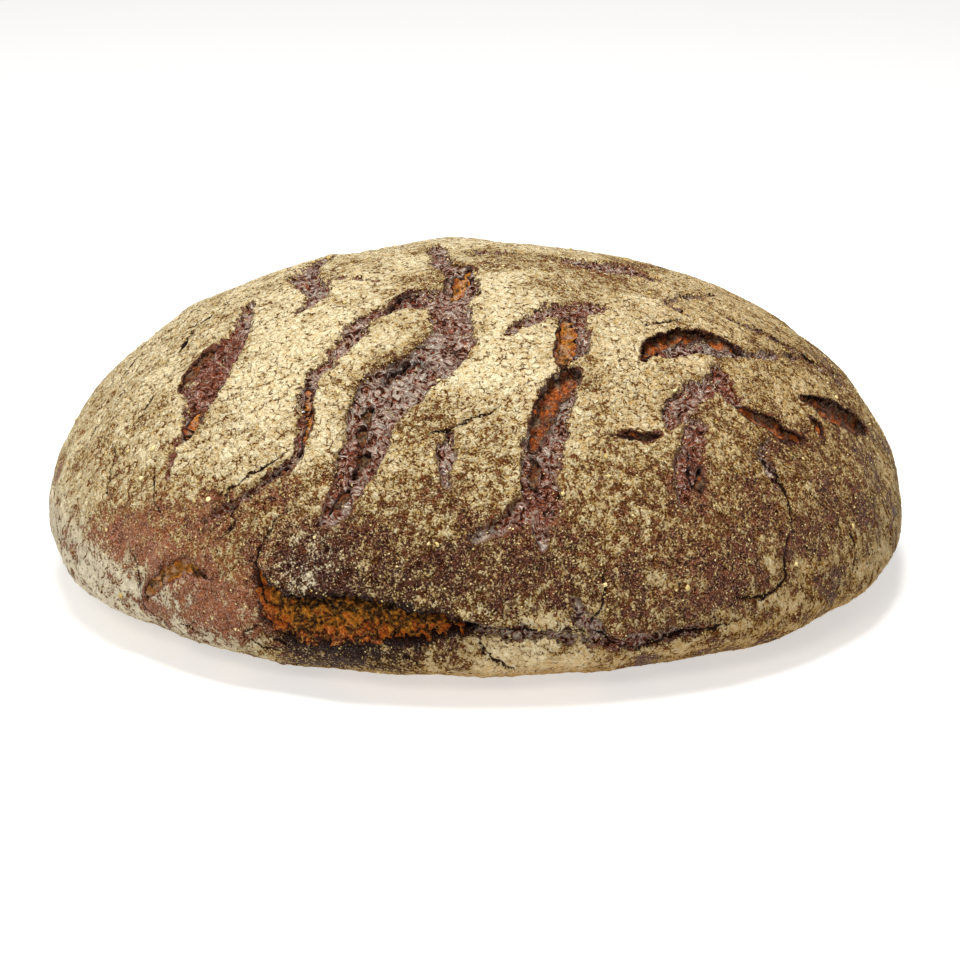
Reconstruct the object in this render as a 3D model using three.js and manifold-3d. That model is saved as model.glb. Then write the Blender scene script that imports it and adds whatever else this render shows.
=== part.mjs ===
// A free-baked rye loaf: one solid of bread, domed above and flat underneath.
// Millimetres, +Z up. The origin is the middle of the flat heel the loaf stands on;
// +X is the loaf's right-hand end, -Y its front and +Y its back.
//
// The shape has three layers:
//   1. a smooth dome over a tucked-in underside and a flat heel,
//   2. gentle relief: uneven rising, sunken bands where the skin was stretched,
//   3. torn fissures, cut out with manifold-3d.
//
// Places on the crust are given like places on a globe, in degrees. Longitude is 0 at the
// front, positive to the right and 180 at the back. Latitude is 0 at the widest level, 90 at
// the crown, -45 where the heel touches down and -90 at the middle of the heel.

import * as THREE from "three";
import { mergeVertices } from "three/addons/utils/BufferGeometryUtils.js";
import Module from "manifold-3d";

// ---- Driving dimensions ----

const WIDTH = 260; // end to end
const DEPTH = 224; // front to back
const HEIGHT = 95; // heel to crown
const WIDEST_LEVEL = 18; // height of the widest ring above the table
const PLAN_EXPONENT = 2.1; // 2 is an ellipse; more is squarer
const HEEL_SHARE = 0.67; // the flat heel's outline, as a share of the widest ring
const TUCK_EXPONENT = 1.25; // how the underside draws in from the ring to the heel
const HEEL_LATITUDE = -45;

const SKIN_DETAIL = 17; // subdivisions of each of the icosahedron's 20 faces
const CROWN_BIAS = 0.6; // under 1 moves the mesh's points from the heel up to the dome

const SWELL = [
  // uneven rising: height of the swell and distance between swells
  { height: 0.35, spacing: 58 },
  { height: 0.3, spacing: 27 },
];
// Lumps and hollows of the dome: [longitude, latitude, reach in mm, height in mm].
const LUMPS = [
  [-104, 36, 14, -1.6],
  [-109, 44, 9, 1.4],
  [-130, 59, 12, 0.6],
  [-144, 63, 12, -1.6],
  [-166, 66, 12, 0.7],
  [170, 66, 12, -0.6],
  [145, 64, 12, -1],
  [137, 62, 8, 0.6],
  [126, 58, 7, -1.4],
  [106, 38, 12, -0.7],
  [95, 19, 10, -1],
  [-62, -9, 18, 0.6],
  [44, -15, 16, 1.3],
  [64, -9, 14, 1.2],
  [-25, 62, 13, 0.8],
  [4, 58, 16, 0.9],
  [-2, 28, 22, 0.7],
  [20, 78, 18, 0.7],
];
const FLAT_MARGIN = 6; // height over which the swell fades out above the table

// Bands of stretched, bare skin. Each point is [longitude, latitude, width in mm].
const BAND_SINK = 1.5;
const BANDS = [
  [[-80, 58, 4], [-66, 49, 9], [-59, 43, 9], [-54, 37, 6], [-52, 26, 3]],
  [[-112, 64, 8], [-92, 68, 8], [-72, 67, 6], [-67, 59, 3]],
  [[-33, 77, 6], [-40, 66, 7], [-39, 54, 5], [-33, 44, 4], [-34, 31, 6], [-40, 18, 3]],
  [[-162, 74, 6], [-20, 84, 10], [-9, 63, 12], [-20, 51, 14], [-21, 38, 10], [-24, 25, 4]],
  [[50, 71, 8], [37, 68, 9], [22, 56, 11], [13, 43, 11], [11, 30, 9], [1, 23, 4]],
  [[110, 52, 6], [102, 64, 12], [97, 74, 12], [107, 86, 6]],
  [[60, 50, 5], [48, 46, 7], [38, 41, 7], [40, 37, 9], [34, 27, 7], [33, 20, 3]],
  [[-128, 30, 4], [-134, 45, 9], [-140, 60, 10], [-150, 74, 6]],
  [[-160, 24, 4], [-168, 40, 10], [-172, 56, 12], [-176, 72, 7]],
  [[158, 20, 4], [163, 36, 9], [160, 52, 11], [146, 66, 6]],
  [[128, 22, 4], [124, 38, 9], [130, 52, 8]],
];

// Torn fissures. Each point is [longitude, latitude, width in mm]; depth is in mm. lean tips
// the fissure's floor towards its left-hand side as one walks the path, as a share of depth.
const FISSURES = [
  // The gape low on the front, where the dome lifted off the heel.
  {
    path: [[-32, 15, 3], [-31, 8, 8], [-26, 6, 12], [-18, 6, 13], [-9, 5.5, 11], [0, 5, 4]],
    depth: 10,
    lean: 0.5,
  },
  { path: [[-51, 1, 2], [-48, 8, 4], [-44, 12, 5], [-39, 11, 3]], depth: 2.5, lean: 0 },
  { path: [[-68, 52, 2], [-64, 47, 4], [-57, 40, 4], [-54, 34, 2]], depth: 4, lean: -0.3 },
  { path: [[-40, 56, 2], [-37, 49, 3], [-33, 42, 3], [-33, 34, 2]], depth: 4, lean: 0 },
  { path: [[-24, 53, 2], [-21, 57, 4], [-12, 58, 3]], depth: 4, lean: 0.4 },
  { path: [[-22, 46, 4], [-20, 40, 5], [-22, 32, 5], [-24, 26, 2]], depth: 4, lean: 0 },
  { path: [[-12, 86, 3], [-13, 80, 6], [-12, 75, 3]], depth: 4, lean: 0 },
  { path: [[38, 68, 4], [31, 63, 7], [24, 57, 5]], depth: 5, lean: 0 },
  { path: [[24, 54, 7], [17, 49, 8], [12, 43, 7], [10, 38, 3]], depth: 6, lean: 0.3 },
  { path: [[41, 53, 3], [50, 57, 7], [62, 57, 8], [67, 50, 5], [80, 43, 2]], depth: 7, lean: 0.4 },
  { path: [[58, 50, 3], [54, 43, 4], [56, 37, 6], [62, 32, 3]], depth: 6, lean: 0.4 },
  { path: [[69, 36, 4], [74, 31, 8], [80, 25, 4]], depth: 7, lean: 0.5 },
  { path: [[82, 54, 2], [84, 46, 4], [88, 36, 3], [92, 29, 2]], depth: 4, lean: 0.2 },
  { path: [[50, 32, 2], [49, 18, 3], [46, 8, 3], [37, 6, 3]], depth: 3, lean: 0 },
  { path: [[-136, 34, 3], [-139, 48, 5], [-144, 62, 3]], depth: 5, lean: 0 },
  { path: [[-172, 44, 3], [-173, 56, 7], [-177, 66, 3]], depth: 5, lean: 0.2 },
  { path: [[162, 30, 3], [162, 44, 6], [156, 57, 3]], depth: 5, lean: 0 },
  { path: [[118, 28, 3], [108, 36, 7], [100, 36, 3]], depth: 5, lean: 0.4 },
  { path: [[-104, 14, 2], [-112, 20, 6], [-124, 18, 3]], depth: 5, lean: 0 },
  { path: [[140, 4, 3], [152, 6, 7], [166, 5, 3]], depth: 6, lean: 0.3 },
];
const STATION_STEP = 5; // distance between a fissure's sections
const TIP_SHARE = 0.12; // how much of its width a fissure keeps at its very end
const TIP_REACH = 5; // distance over which it narrows to that
const CUTTER_RISE = 4; // how far a cutting tool stands out of the skin
const RAGGED = 0.14; // unevenness of a torn edge, as a share of the width
// Half a fissure's section, from its mouth down: [share of the half width, share of depth].
const SECTION = [[1, 0], [0.92, 0.45], [0.55, 0.9], [0, 1]];

const CRUST = { color: "#8a6440", roughness: 0.85, metalness: 0 };

// ---- The smooth loaf ----

const radians = THREE.MathUtils.degToRad;
const lerp = THREE.MathUtils.lerp;
const smoothstep = THREE.MathUtils.smoothstep;

// Distance from the axis to the widest ring in the direction of a longitude: a superellipse.
function ringRadius(longitude) {
  const x = Math.abs(Math.sin(radians(longitude))) / (WIDTH / 2);
  const y = Math.abs(Math.cos(radians(longitude))) / (DEPTH / 2);
  return (x ** PLAN_EXPONENT + y ** PLAN_EXPONENT) ** (-1 / PLAN_EXPONENT);
}

// Radius (as a share of the ring's) and height for a latitude: an elliptic dome, a tucked
// underside and the flat heel.
function profile(latitude) {
  const angle = radians(latitude);
  if (latitude >= 0) {
    return [Math.cos(angle), lerp(WIDEST_LEVEL, HEIGHT, Math.sin(angle))];
  }
  if (latitude > HEEL_LATITUDE) {
    const turn = radians((90 * latitude) / HEEL_LATITUDE);
    const share = Math.max(Math.cos(turn), 0) ** TUCK_EXPONENT;
    return [lerp(HEEL_SHARE, 1, share), WIDEST_LEVEL * (1 - Math.sin(turn))];
  }
  return [(HEEL_SHARE * (90 + latitude)) / (90 + HEEL_LATITUDE), 0];
}

function place([longitude, latitude]) {
  const [share, height] = profile(latitude);
  const radius = share * ringRadius(longitude);
  const angle = radians(longitude);
  return new THREE.Vector3(radius * Math.sin(angle), -radius * Math.cos(angle), height);
}

// The longitude and latitude of a point on or close to the dome or the underside.
function globeOf(point) {
  const longitude = THREE.MathUtils.radToDeg(Math.atan2(point.x, -point.y));
  const climb = (point.z - WIDEST_LEVEL) / (HEIGHT - WIDEST_LEVEL);
  const drop = point.z / WIDEST_LEVEL - 1;
  const angle =
    climb >= 0
      ? Math.asin(Math.min(climb, 1))
      : (Math.asin(Math.max(drop, -1)) * -HEEL_LATITUDE) / 90;
  return [longitude, THREE.MathUtils.radToDeg(angle)];
}

// Outward normal from the slopes along the parallel and along the meridian.
function normalAt([longitude, latitude]) {
  const step = 0.5;
  const held = THREE.MathUtils.clamp(latitude, -90 + step, 90 - step);
  const east = place([longitude + step, held]).sub(place([longitude - step, held]));
  const north = place([longitude, held + step]).sub(place([longitude, held - step]));
  return east.cross(north).normalize();
}

// ---- Relief ----

// Uneven rising: the lumps, and sine waves whose directions turn by the golden angle.
const lumps = LUMPS.map(([longitude, latitude, reach, height]) => {
  return { middle: place([longitude, latitude]), reach, height };
});

function swell(point) {
  const goldenAngle = Math.PI * (3 - Math.sqrt(5));
  let height = 0;
  SWELL.forEach((wave, w) => {
    for (let k = 0; k < 3; k += 1) {
      const turn = goldenAngle * (3 * w + k + 1);
      const along =
        point.x * Math.cos(turn) + point.y * Math.sin(turn) + point.z * Math.cos(2 * turn);
      height += (wave.height / 1.7) * Math.sin((2 * Math.PI * along) / wave.spacing + turn);
    }
  });
  for (const lump of lumps) {
    height += lump.height * Math.exp(-((point.distanceTo(lump.middle) / lump.reach) ** 2));
  }
  return height * smoothstep(point.z, 0, FLAT_MARGIN);
}

// Samples a path of [longitude, latitude, width] points every step millimetres.
function walk(path, step) {
  const curve = new THREE.CatmullRomCurve3(path.map(place), false, "centripetal");
  const widths = new THREE.CatmullRomCurve3(
    path.map(([, , width]) => new THREE.Vector3(width, 0, 0)),
  );
  const count = Math.max(2, Math.round(curve.getLength() / step));
  return Array.from({ length: count + 1 }, (_, i) => {
    const share = i / count;
    const along = curve.getUtoTmapping(share);
    const globe = globeOf(curve.getPoint(along));
    return {
      point: place(globe),
      normal: normalAt(globe),
      width: widths.getPoint(along).x,
      fromEnd: Math.min(share, 1 - share) * curve.getLength(),
    };
  });
}

const BAND_STEP = 3;
const bandStations = BANDS.flatMap((path) => walk(path, BAND_STEP));

// Depth of the nearest stretched band at a point, full in its middle and gone past its edge.
function bandSink(point) {
  let most = 0;
  for (const station of bandStations) {
    const half = station.width / 2;
    const away = point.distanceTo(station.point);
    most = Math.max(most, 1 - smoothstep(away, 0.5 * half, 1.2 * half + 2));
  }
  return BAND_SINK * most;
}

// ---- Solids ----

const wasm = await Module();
wasm.setup();

function toSolid(geometry) {
  const bare = geometry.clone();
  bare.deleteAttribute("normal");
  bare.deleteAttribute("uv");
  const merged = mergeVertices(bare, 1e-4);
  return new wasm.Manifold(
    new wasm.Mesh({
      numProp: 3,
      vertProperties: merged.getAttribute("position").array,
      triVerts: new Uint32Array(merged.index.array),
    }),
  );
}

function toGeometry(solid) {
  const mesh = solid.getMesh();
  return new THREE.BufferGeometry()
    .setAttribute("position", new THREE.BufferAttribute(mesh.vertProperties, 3))
    .setIndex(new THREE.BufferAttribute(mesh.triVerts, 1));
}

// The skin: an icosphere's points, moved up towards the dome, laid on the loaf by their
// longitude and latitude, and pushed along the normal by the relief.
function skin() {
  const geometry = new THREE.IcosahedronGeometry(1, SKIN_DETAIL);
  const position = geometry.getAttribute("position");
  const at = new THREE.Vector3();
  for (let i = 0; i < position.count; i += 1) {
    at.fromBufferAttribute(position, i).normalize();
    const longitude = THREE.MathUtils.radToDeg(Math.atan2(at.x, -at.y));
    const level = 2 * ((at.z + 1) / 2) ** CROWN_BIAS - 1;
    const latitude = THREE.MathUtils.radToDeg(Math.asin(THREE.MathUtils.clamp(level, -1, 1)));
    const globe = [longitude, latitude];
    const point = place(globe);
    const relief = swell(point) - bandSink(point);
    if (latitude > HEEL_LATITUDE) point.addScaledVector(normalAt(globe), relief);
    position.setXYZ(i, point.x, point.y, Math.max(point.z, 0));
  }
  return toSolid(geometry);
}

// A number from -1 to 1 that looks random but is the same every time.
function jitter(seed) {
  const wave = Math.sin(seed * 127.1 + 311.7) * 43758.5453;
  return 2 * (wave - Math.floor(wave)) - 1;
}

// The tool that tears out one fissure: a section carried along the path, wide and deep in
// the middle and narrow at both tips, with ragged sides.
function fissureCutter({ path, depth, lean }, seed) {
  const stations = walk(path, STATION_STEP);
  const ring = [
    ...SECTION.map(([share, down]) => [-share, down]),
    ...SECTION.slice(0, -1).reverse(),
  ];
  const points = [];
  stations.forEach((station, i) => {
    const before = stations[Math.max(i - 1, 0)].point;
    const after = stations[Math.min(i + 1, stations.length - 1)].point;
    const side = after.clone().sub(before).cross(station.normal).normalize();
    const opening = lerp(TIP_SHARE, 1, smoothstep(station.fromEnd, 0, TIP_REACH));
    const half = (station.width / 2) * opening;
    const down = depth * opening * (1 + RAGGED * jitter(seed + 7 * i));
    const middle = station.point.clone();
    middle.addScaledVector(side, half * RAGGED * jitter(seed + 13 * i));
    ring.forEach(([share, sunk], j) => {
      const ragged = 1 + RAGGED * jitter(seed + 31 * i + 3 * j);
      const across = share * half * ragged - lean * depth * opening * sunk;
      points.push(
        middle.clone().addScaledVector(side, across).addScaledVector(station.normal, -sunk * down),
      );
    });
    for (const end of [1, -1]) {
      points.push(
        middle
          .clone()
          .addScaledVector(side, end * half * 1.1)
          .addScaledVector(station.normal, CUTTER_RISE),
      );
    }
  });
  const around = ring.length + 2;
  const faces = [];
  for (let i = 0; i + 1 < stations.length; i += 1) {
    for (let j = 0; j < around; j += 1) {
      const a = i * around + j;
      const b = i * around + ((j + 1) % around);
      faces.push(a, a + around, b, b, a + around, b + around);
    }
  }
  const last = (stations.length - 1) * around;
  for (let j = 1; j + 1 < around; j += 1) {
    faces.push(0, j, j + 1, last, last + j + 1, last + j);
  }
  return toSolid(new THREE.BufferGeometry().setFromPoints(points).setIndex(faces));
}

const fissures = FISSURES.map((fissure, i) => fissureCutter(fissure, 100 * i + 1));
const loafSolid = skin().subtract(wasm.Manifold.union(fissures));

const loaf = new THREE.Mesh(toGeometry(loafSolid), new THREE.MeshStandardMaterial(CRUST));
loaf.name = "loaf";

const bread = new THREE.Group();
bread.add(loaf);

export default bread;
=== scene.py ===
"""The looks of a free-baked rye loaf: a floured, torn crust, open crumb and clumps of flour.

Lengths are millimetres until a mesh is made, and then metres. The loaf stands on z = 0 with its
front towards -Y. Places on the crust are longitude and latitude in degrees: longitude is 0 at the
front and positive to the right; latitude is 0 at the widest level, 90 at the crown, -45 where the
flat heel touches down and -90 at the middle of the heel.
"""

import logging
from dataclasses import astuple, dataclass, field
from enum import Enum
from itertools import product

import bpy
import numpy as np
from mathutils import Matrix, Vector


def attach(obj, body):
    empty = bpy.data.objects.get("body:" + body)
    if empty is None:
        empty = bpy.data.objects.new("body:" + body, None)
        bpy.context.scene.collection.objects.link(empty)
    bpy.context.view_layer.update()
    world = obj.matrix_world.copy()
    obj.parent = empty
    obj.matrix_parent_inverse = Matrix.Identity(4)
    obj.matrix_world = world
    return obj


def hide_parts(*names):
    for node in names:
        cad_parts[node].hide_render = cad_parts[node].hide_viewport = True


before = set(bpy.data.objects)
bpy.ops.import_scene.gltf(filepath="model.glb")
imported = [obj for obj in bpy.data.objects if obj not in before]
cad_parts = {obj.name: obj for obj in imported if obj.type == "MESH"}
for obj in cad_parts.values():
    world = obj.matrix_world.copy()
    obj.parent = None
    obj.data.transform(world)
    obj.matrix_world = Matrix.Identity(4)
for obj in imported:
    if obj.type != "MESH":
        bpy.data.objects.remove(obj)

LOG = logging.getLogger("loaf")
MM = 0.001
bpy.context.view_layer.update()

Array = np.ndarray
Socket = bpy.types.NodeSocket
Stops = tuple[tuple[float, float, float], ...]
Profile = tuple[tuple[float, float], ...]
MIX_COLOUR = {"data_type": "RGBA", "out": 2}  # makes a Mix node mix colours


class Name(Enum):
    """The names of the pieces made here."""

    CRUST = "crust"
    CRUMB = "torn_crumb"
    CLUMPS = "flour_clumps"
    SPECKS = "flour_specks"
    FLOOR = "floor"


class Mark(Enum):
    """The measures that the crust carries at every vertex for its finish to read."""

    FLOUR = "flour"  # share of the skin that flour covers
    RED = "red"  # 0 is dark brown skin, 1 is red-brown
    SOOT_AND_LIP_SHADE = "soot"  # 1 is scorched; along the rifts' edges it is also painted shade of the lips
    GOLD_AND_PAINTED_LIGHT = "gold"  # 1 where the flour itself is toasted, negative where it is raw; round the foot its toasting is partly painted shade, and over the gape its raw white is a painted reflection
    STRIP = "strip"  # mm inside the nearest bare strip; negative outside
    RIFT = "rift"  # mm inside the nearest rift; negative outside
    CRACK_SIDE = "crack_side"  # signed mm from the nearest crack's line
    CRACK_HALF = "crack_half"  # that crack's half width in mm; negative past its ends


# ---- Small tools ----


def linear(hex_colour: str) -> tuple[float, float, float, float]:
    """Turns an sRGB hex colour into linear red, green, blue and alpha.

    Args:
        hex_colour: six hex digits, with or without a leading hash.

    Returns:
        The linear colour with alpha 1.
    """
    digits = hex_colour.lstrip("#")
    shares = np.array([int(digits[i : i + 2], 16) for i in (0, 2, 4)]) / 255
    curve = np.where(shares <= 0.04045, shares / 12.92, ((shares + 0.055) / 1.055) ** 2.4)
    return (*map(float, curve), 1.0)


def ramp(value: Array, low: float, high: float) -> Array:
    """A smooth step from 0 at low to 1 at high.

    Args:
        value: the values to map.
        low: where the step starts.
        high: where the step ends.

    Returns:
        Values from 0 to 1, of value's shape.
    """
    share = np.clip((value - low) / (high - low), 0, 1)
    return share * share * (3 - 2 * share)


def taper_of(half: Array) -> Array:
    """How deep a rift is at a narrow place, as a share of its depth where it is wide.

    Args:
        half: the rift's half width in mm.

    Returns:
        Shares from 0.3 to 1.
    """
    return np.clip(half / 2, 0.3, 1)


def unit(vectors: Array) -> Array:
    """Scales vectors to length 1.

    Args:
        vectors: an array whose last axis is x, y, z.

    Returns:
        The same vectors at length 1.
    """
    return vectors / np.maximum(np.linalg.norm(vectors, axis=-1, keepdims=True), 1e-9)


class GradientNoise:
    """Smooth 3-D noise: random slopes at the corners of a cubic lattice, blended between."""

    def __init__(self, seed: int) -> None:
        """Draws the lattice's slopes.

        Args:
            seed: the same seed gives the same noise.
        """
        rng = np.random.default_rng(seed)
        self.order = np.tile(rng.permutation(256), 3)
        self.slopes = unit(rng.normal(size=(256, 3)))

    def layer(self, points: Array) -> Array:
        """One layer of noise with a lattice step of 1.

        Args:
            points: positions, shape (n, 3), in lattice steps.

        Returns:
            Values from about -1 to 1, shape (n,).
        """
        cell = np.floor(points).astype(int)
        inside = points - cell
        blend = inside**3 * (inside * (inside * 6 - 15) + 10)
        total = np.zeros(len(points))
        for corner in product((0, 1), repeat=3):
            x, y, z = ((cell + corner) & 255).T
            slope = self.slopes[self.order[self.order[self.order[x] + y] + z]]
            weight = np.where(np.array(corner, bool), blend, 1 - blend).prod(axis=1)
            total += weight * ((inside - corner) * slope).sum(axis=1)
        return 1.6 * total

    def __call__(self, points: Array, step: float, octaves: int = 1) -> Array:
        """Layers of noise, each at half the step and half the height of the one before.

        Args:
            points: positions in mm, shape (n, 3).
            step: the first layer's lattice step in mm.
            octaves: how many layers.

        Returns:
            Values from about -1 to 1, shape (n,).
        """
        heights = 0.5 ** np.arange(octaves)
        total = np.zeros(len(points))
        for k, height in enumerate(heights):
            total += height * self.layer(points * 2**k / step + 17.3 * k)
        return total / heights.sum()


# ---- The smooth loaf and places on it ----


@dataclass(frozen=True)
class LoafForm:
    """The smooth loaf: an elliptic dome over a tucked underside and a flat heel."""

    width: float = 260  # along X, in mm
    depth: float = 224  # along Y, in mm
    height: float = 95  # of the crown over the heel, in mm
    widest: float = 18  # height of the widest level, in mm
    plan_exponent: float = 2.1  # 2 is an ellipse seen from above; more is squarer
    heel_share: float = 0.67  # the heel's radius as a share of the widest one
    tuck_exponent: float = 1.25  # how softly the underside turns in to the heel
    heel_latitude: float = -45

    def ring_radius(self, longitude: Array) -> Array:
        """Distance from the axis to the widest ring: a superellipse in plan.

        Args:
            longitude: degrees.

        Returns:
            Radii in mm.
        """
        x = np.abs(np.sin(np.radians(longitude))) / (self.width / 2)
        y = np.abs(np.cos(np.radians(longitude))) / (self.depth / 2)
        return (x**self.plan_exponent + y**self.plan_exponent) ** (-1 / self.plan_exponent)

    def profile(self, latitude: Array) -> tuple[Array, Array]:
        """The meridian: a quarter ellipse above, a soft tuck below and the level heel.

        Args:
            latitude: degrees.

        Returns:
            Radius as a share of the ring's, and height in mm.
        """
        angle = np.radians(latitude)
        turn = np.radians(np.clip(90 * latitude / self.heel_latitude, 0, 90))
        tuck = np.maximum(np.cos(turn), 0) ** self.tuck_exponent
        low_share = self.heel_share + (1 - self.heel_share) * tuck
        heel_reach = (90 + latitude) / (90 + self.heel_latitude)
        low_share = np.where(latitude < self.heel_latitude, self.heel_share * heel_reach, low_share)
        low_height = self.widest * (1 - np.sin(turn))
        high_height = self.widest + (self.height - self.widest) * np.sin(angle)
        above = latitude >= 0
        return np.where(above, np.cos(angle), low_share), np.where(above, high_height, low_height)

    def place(self, longitude: Array, latitude: Array) -> Array:
        """Points of the smooth loaf.

        Args:
            longitude: degrees.
            latitude: degrees.

        Returns:
            Positions in mm, with x, y, z on a new last axis.
        """
        share, height = self.profile(latitude)
        radius = share * self.ring_radius(longitude)
        angle = np.radians(longitude)
        return np.stack([radius * np.sin(angle), -radius * np.cos(angle), height], axis=-1)

    def normal(self, longitude: Array, latitude: Array) -> Array:
        """Outward normals, from the slopes along the parallel and along the meridian.

        Args:
            longitude: degrees.
            latitude: degrees.

        Returns:
            Unit vectors, with x, y, z on a new last axis.
        """
        step = 0.5
        held = np.clip(latitude, -90 + step, 90 - step)
        east = self.place(longitude + step, held) - self.place(longitude - step, held)
        north = self.place(longitude, held + step) - self.place(longitude, held - step)
        return unit(np.cross(east, north))

    def globe(self, points: Array) -> tuple[Array, Array]:
        """Longitude and latitude of points on or close to the dome or the underside.

        Args:
            points: positions in mm, shape (n, 3).

        Returns:
            Longitudes and latitudes in degrees.
        """
        longitude = np.degrees(np.arctan2(points[:, 0], -points[:, 1]))
        climb = (points[:, 2] - self.widest) / (self.height - self.widest)
        drop = points[:, 2] / self.widest - 1
        above = np.degrees(np.arcsin(np.clip(climb, 0, 1)))
        below = np.degrees(np.arcsin(np.clip(drop, -1, 0))) * -self.heel_latitude / 90
        return longitude, np.where(climb >= 0, above, below)

    def arc_table(self) -> tuple[Array, Array]:
        """Distance along the mean meridian from the crown down to the heel's edge.

        Returns:
            Distances in mm and their latitudes in degrees.
        """
        latitude = np.linspace(90, self.heel_latitude, 1351)  # every tenth of a degree
        share, height = self.profile(latitude)
        radius = share * (self.width + self.depth) / 4
        steps = np.hypot(np.diff(radius), np.diff(height))
        return np.concatenate([[0], np.cumsum(steps)]), latitude


FORM = LoafForm()


@dataclass
class Courses:
    """Lines over the crust, sampled: one row of each array is one station of one line."""

    point: Array
    normal: Array
    side: Array  # to the right as one walks the line and looks at the loaf
    along: Array
    half: Array  # half width in mm
    owner: Array  # which line the station belongs to
    share: Array  # how far along its line it is, 0 to 1

    @classmethod
    def walk(cls, lines: list[Stops], step: float = 0.8) -> "Courses":
        """Samples lines by Catmull-Rom curves through their stops, laid on the smooth loaf.

        Args:
            lines: each line's (longitude, latitude, width in mm) stops.
            step: distance between stations in mm.

        Returns:
            All the lines' stations.
        """
        parts = []
        for owner, stops in enumerate(lines):
            table = np.array(stops, float)
            knots = np.column_stack([FORM.place(table[:, 0], table[:, 1]), table[:, 2]])
            dense = cls._curve(knots)
            gaps = np.linalg.norm(np.diff(dense[:, :3], axis=0), axis=1)
            run = np.concatenate([[0], np.cumsum(gaps)])
            count = max(3, int(run[-1] / step) + 1)
            at = np.linspace(0, run[-1], count)
            rows = np.column_stack([np.interp(at, run, dense[:, k]) for k in range(4)])
            globe = FORM.globe(rows[:, :3])
            point, normal = FORM.place(*globe), FORM.normal(*globe)
            along = unit(np.gradient(point, axis=0))
            side = unit(np.cross(along, normal))
            owners = np.full(count, owner)
            parts.append((point, normal, side, along, rows[:, 3] / 2, owners, at / run[-1]))
        return cls(*(np.concatenate(column) for column in zip(*parts)))

    @staticmethod
    def _curve(knots: Array, pieces: int = 24) -> Array:
        """A Catmull-Rom curve through knots.

        Args:
            knots: shape (n, k).
            pieces: straight pieces between two knots.

        Returns:
            The curve's points, shape (m, k).
        """
        ends = [2 * knots[0] - knots[1], *knots, 2 * knots[-1] - knots[-2]]
        t = np.linspace(0, 1, pieces, endpoint=False)[:, None]
        spans = []
        for a, b, c, d in zip(ends, ends[1:], ends[2:], ends[3:]):
            cubic = 2 * b + (c - a) * t + (2 * a - 5 * b + 4 * c - d) * t**2
            spans.append((cubic + (3 * b - a - 3 * c + d) * t**3) / 2)
        return np.concatenate([*spans, knots[-1:]])

    def nearest(self, points: Array, block: int = 8192) -> tuple[Array, Array]:
        """How deep inside the lines' widths points are: the most over all the stations.

        Args:
            points: positions in mm, shape (n, 3).
            block: points handled at once.

        Returns:
            Margins in mm, negative outside, and the stations that give them.
        """
        margin, index = [], []
        stations = self.point.astype(np.float32)
        squares = (stations**2).sum(axis=1)
        for start in range(0, len(points), block):
            chunk = points[start : start + block].astype(np.float32)
            gaps = (chunk**2).sum(axis=1)[:, None] + squares - 2 * chunk @ stations.T
            depth = self.half.astype(np.float32) - np.sqrt(np.maximum(gaps, 0))
            best = depth.argmax(axis=1)
            index.append(best)
            margin.append(depth[np.arange(len(best)), best])
        return np.concatenate(margin).astype(float), np.concatenate(index)


# ---- What is on the crust ----


@dataclass(frozen=True)
class Rift:
    """A torn fissure with open crumb inside."""

    stops: Stops
    floor: float  # how far below the crust the crumb lies at its deepest, in mm
    toast: float  # 0 is pale crumb, 1 is well browned
    lean: float = 0.0  # how far the floor runs under the left-hand lip, as a share of the depth


@dataclass(frozen=True)
class Spot:
    """What the skin is like around one place. SkinMap relies on the order of the fields."""

    longitude: float
    latitude: float
    flour: float  # share of the skin that flour covers; above 1 it lies thick
    red: float = 0.3  # 0 is dark brown skin, 1 is red-brown
    soot: float = 0.0  # 1 is scorched
    reach: float = 13.0  # how far it counts, in mm


def spots(reach: float, *rows: tuple[float, ...]) -> list[Spot]:
    """Spots that all count equally far.

    Args:
        reach: how far each counts, in mm.
        rows: longitude, latitude and flour, and red and soot where they aren't the usual ones.

    Returns:
        The spots.
    """
    return [Spot(*row, reach=reach) for row in rows]


LUMPS = (
    # longitude, latitude, reach, height: the same lumps and hollows as the solid has
    (-104, 36, 14, -1.6),
    (-109, 44, 9, 1.4),
    (-130, 59, 12, 0.6),
    (-144, 63, 12, -1.6),
    (-166, 66, 12, 0.7),
    (170, 66, 12, -0.6),
    (145, 64, 12, -1.0),
    (137, 62, 8, 0.6),
    (126, 58, 7, -1.4),
    (106, 38, 12, -0.7),
    (95, 19, 10, -1.0),
    (-62, -9, 18, 0.6),
    (44, -15, 16, 1.3),
    (64, -9, 14, 1.2),
    (-25, 62, 13, 0.8),
    (4, 58, 16, 0.9),
    (-2, 28, 22, 0.7),
    (20, 78, 18, 0.7),
)

SWELLS = ((0.35, 58), (0.30, 27))  # height and distance between swells

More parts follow.
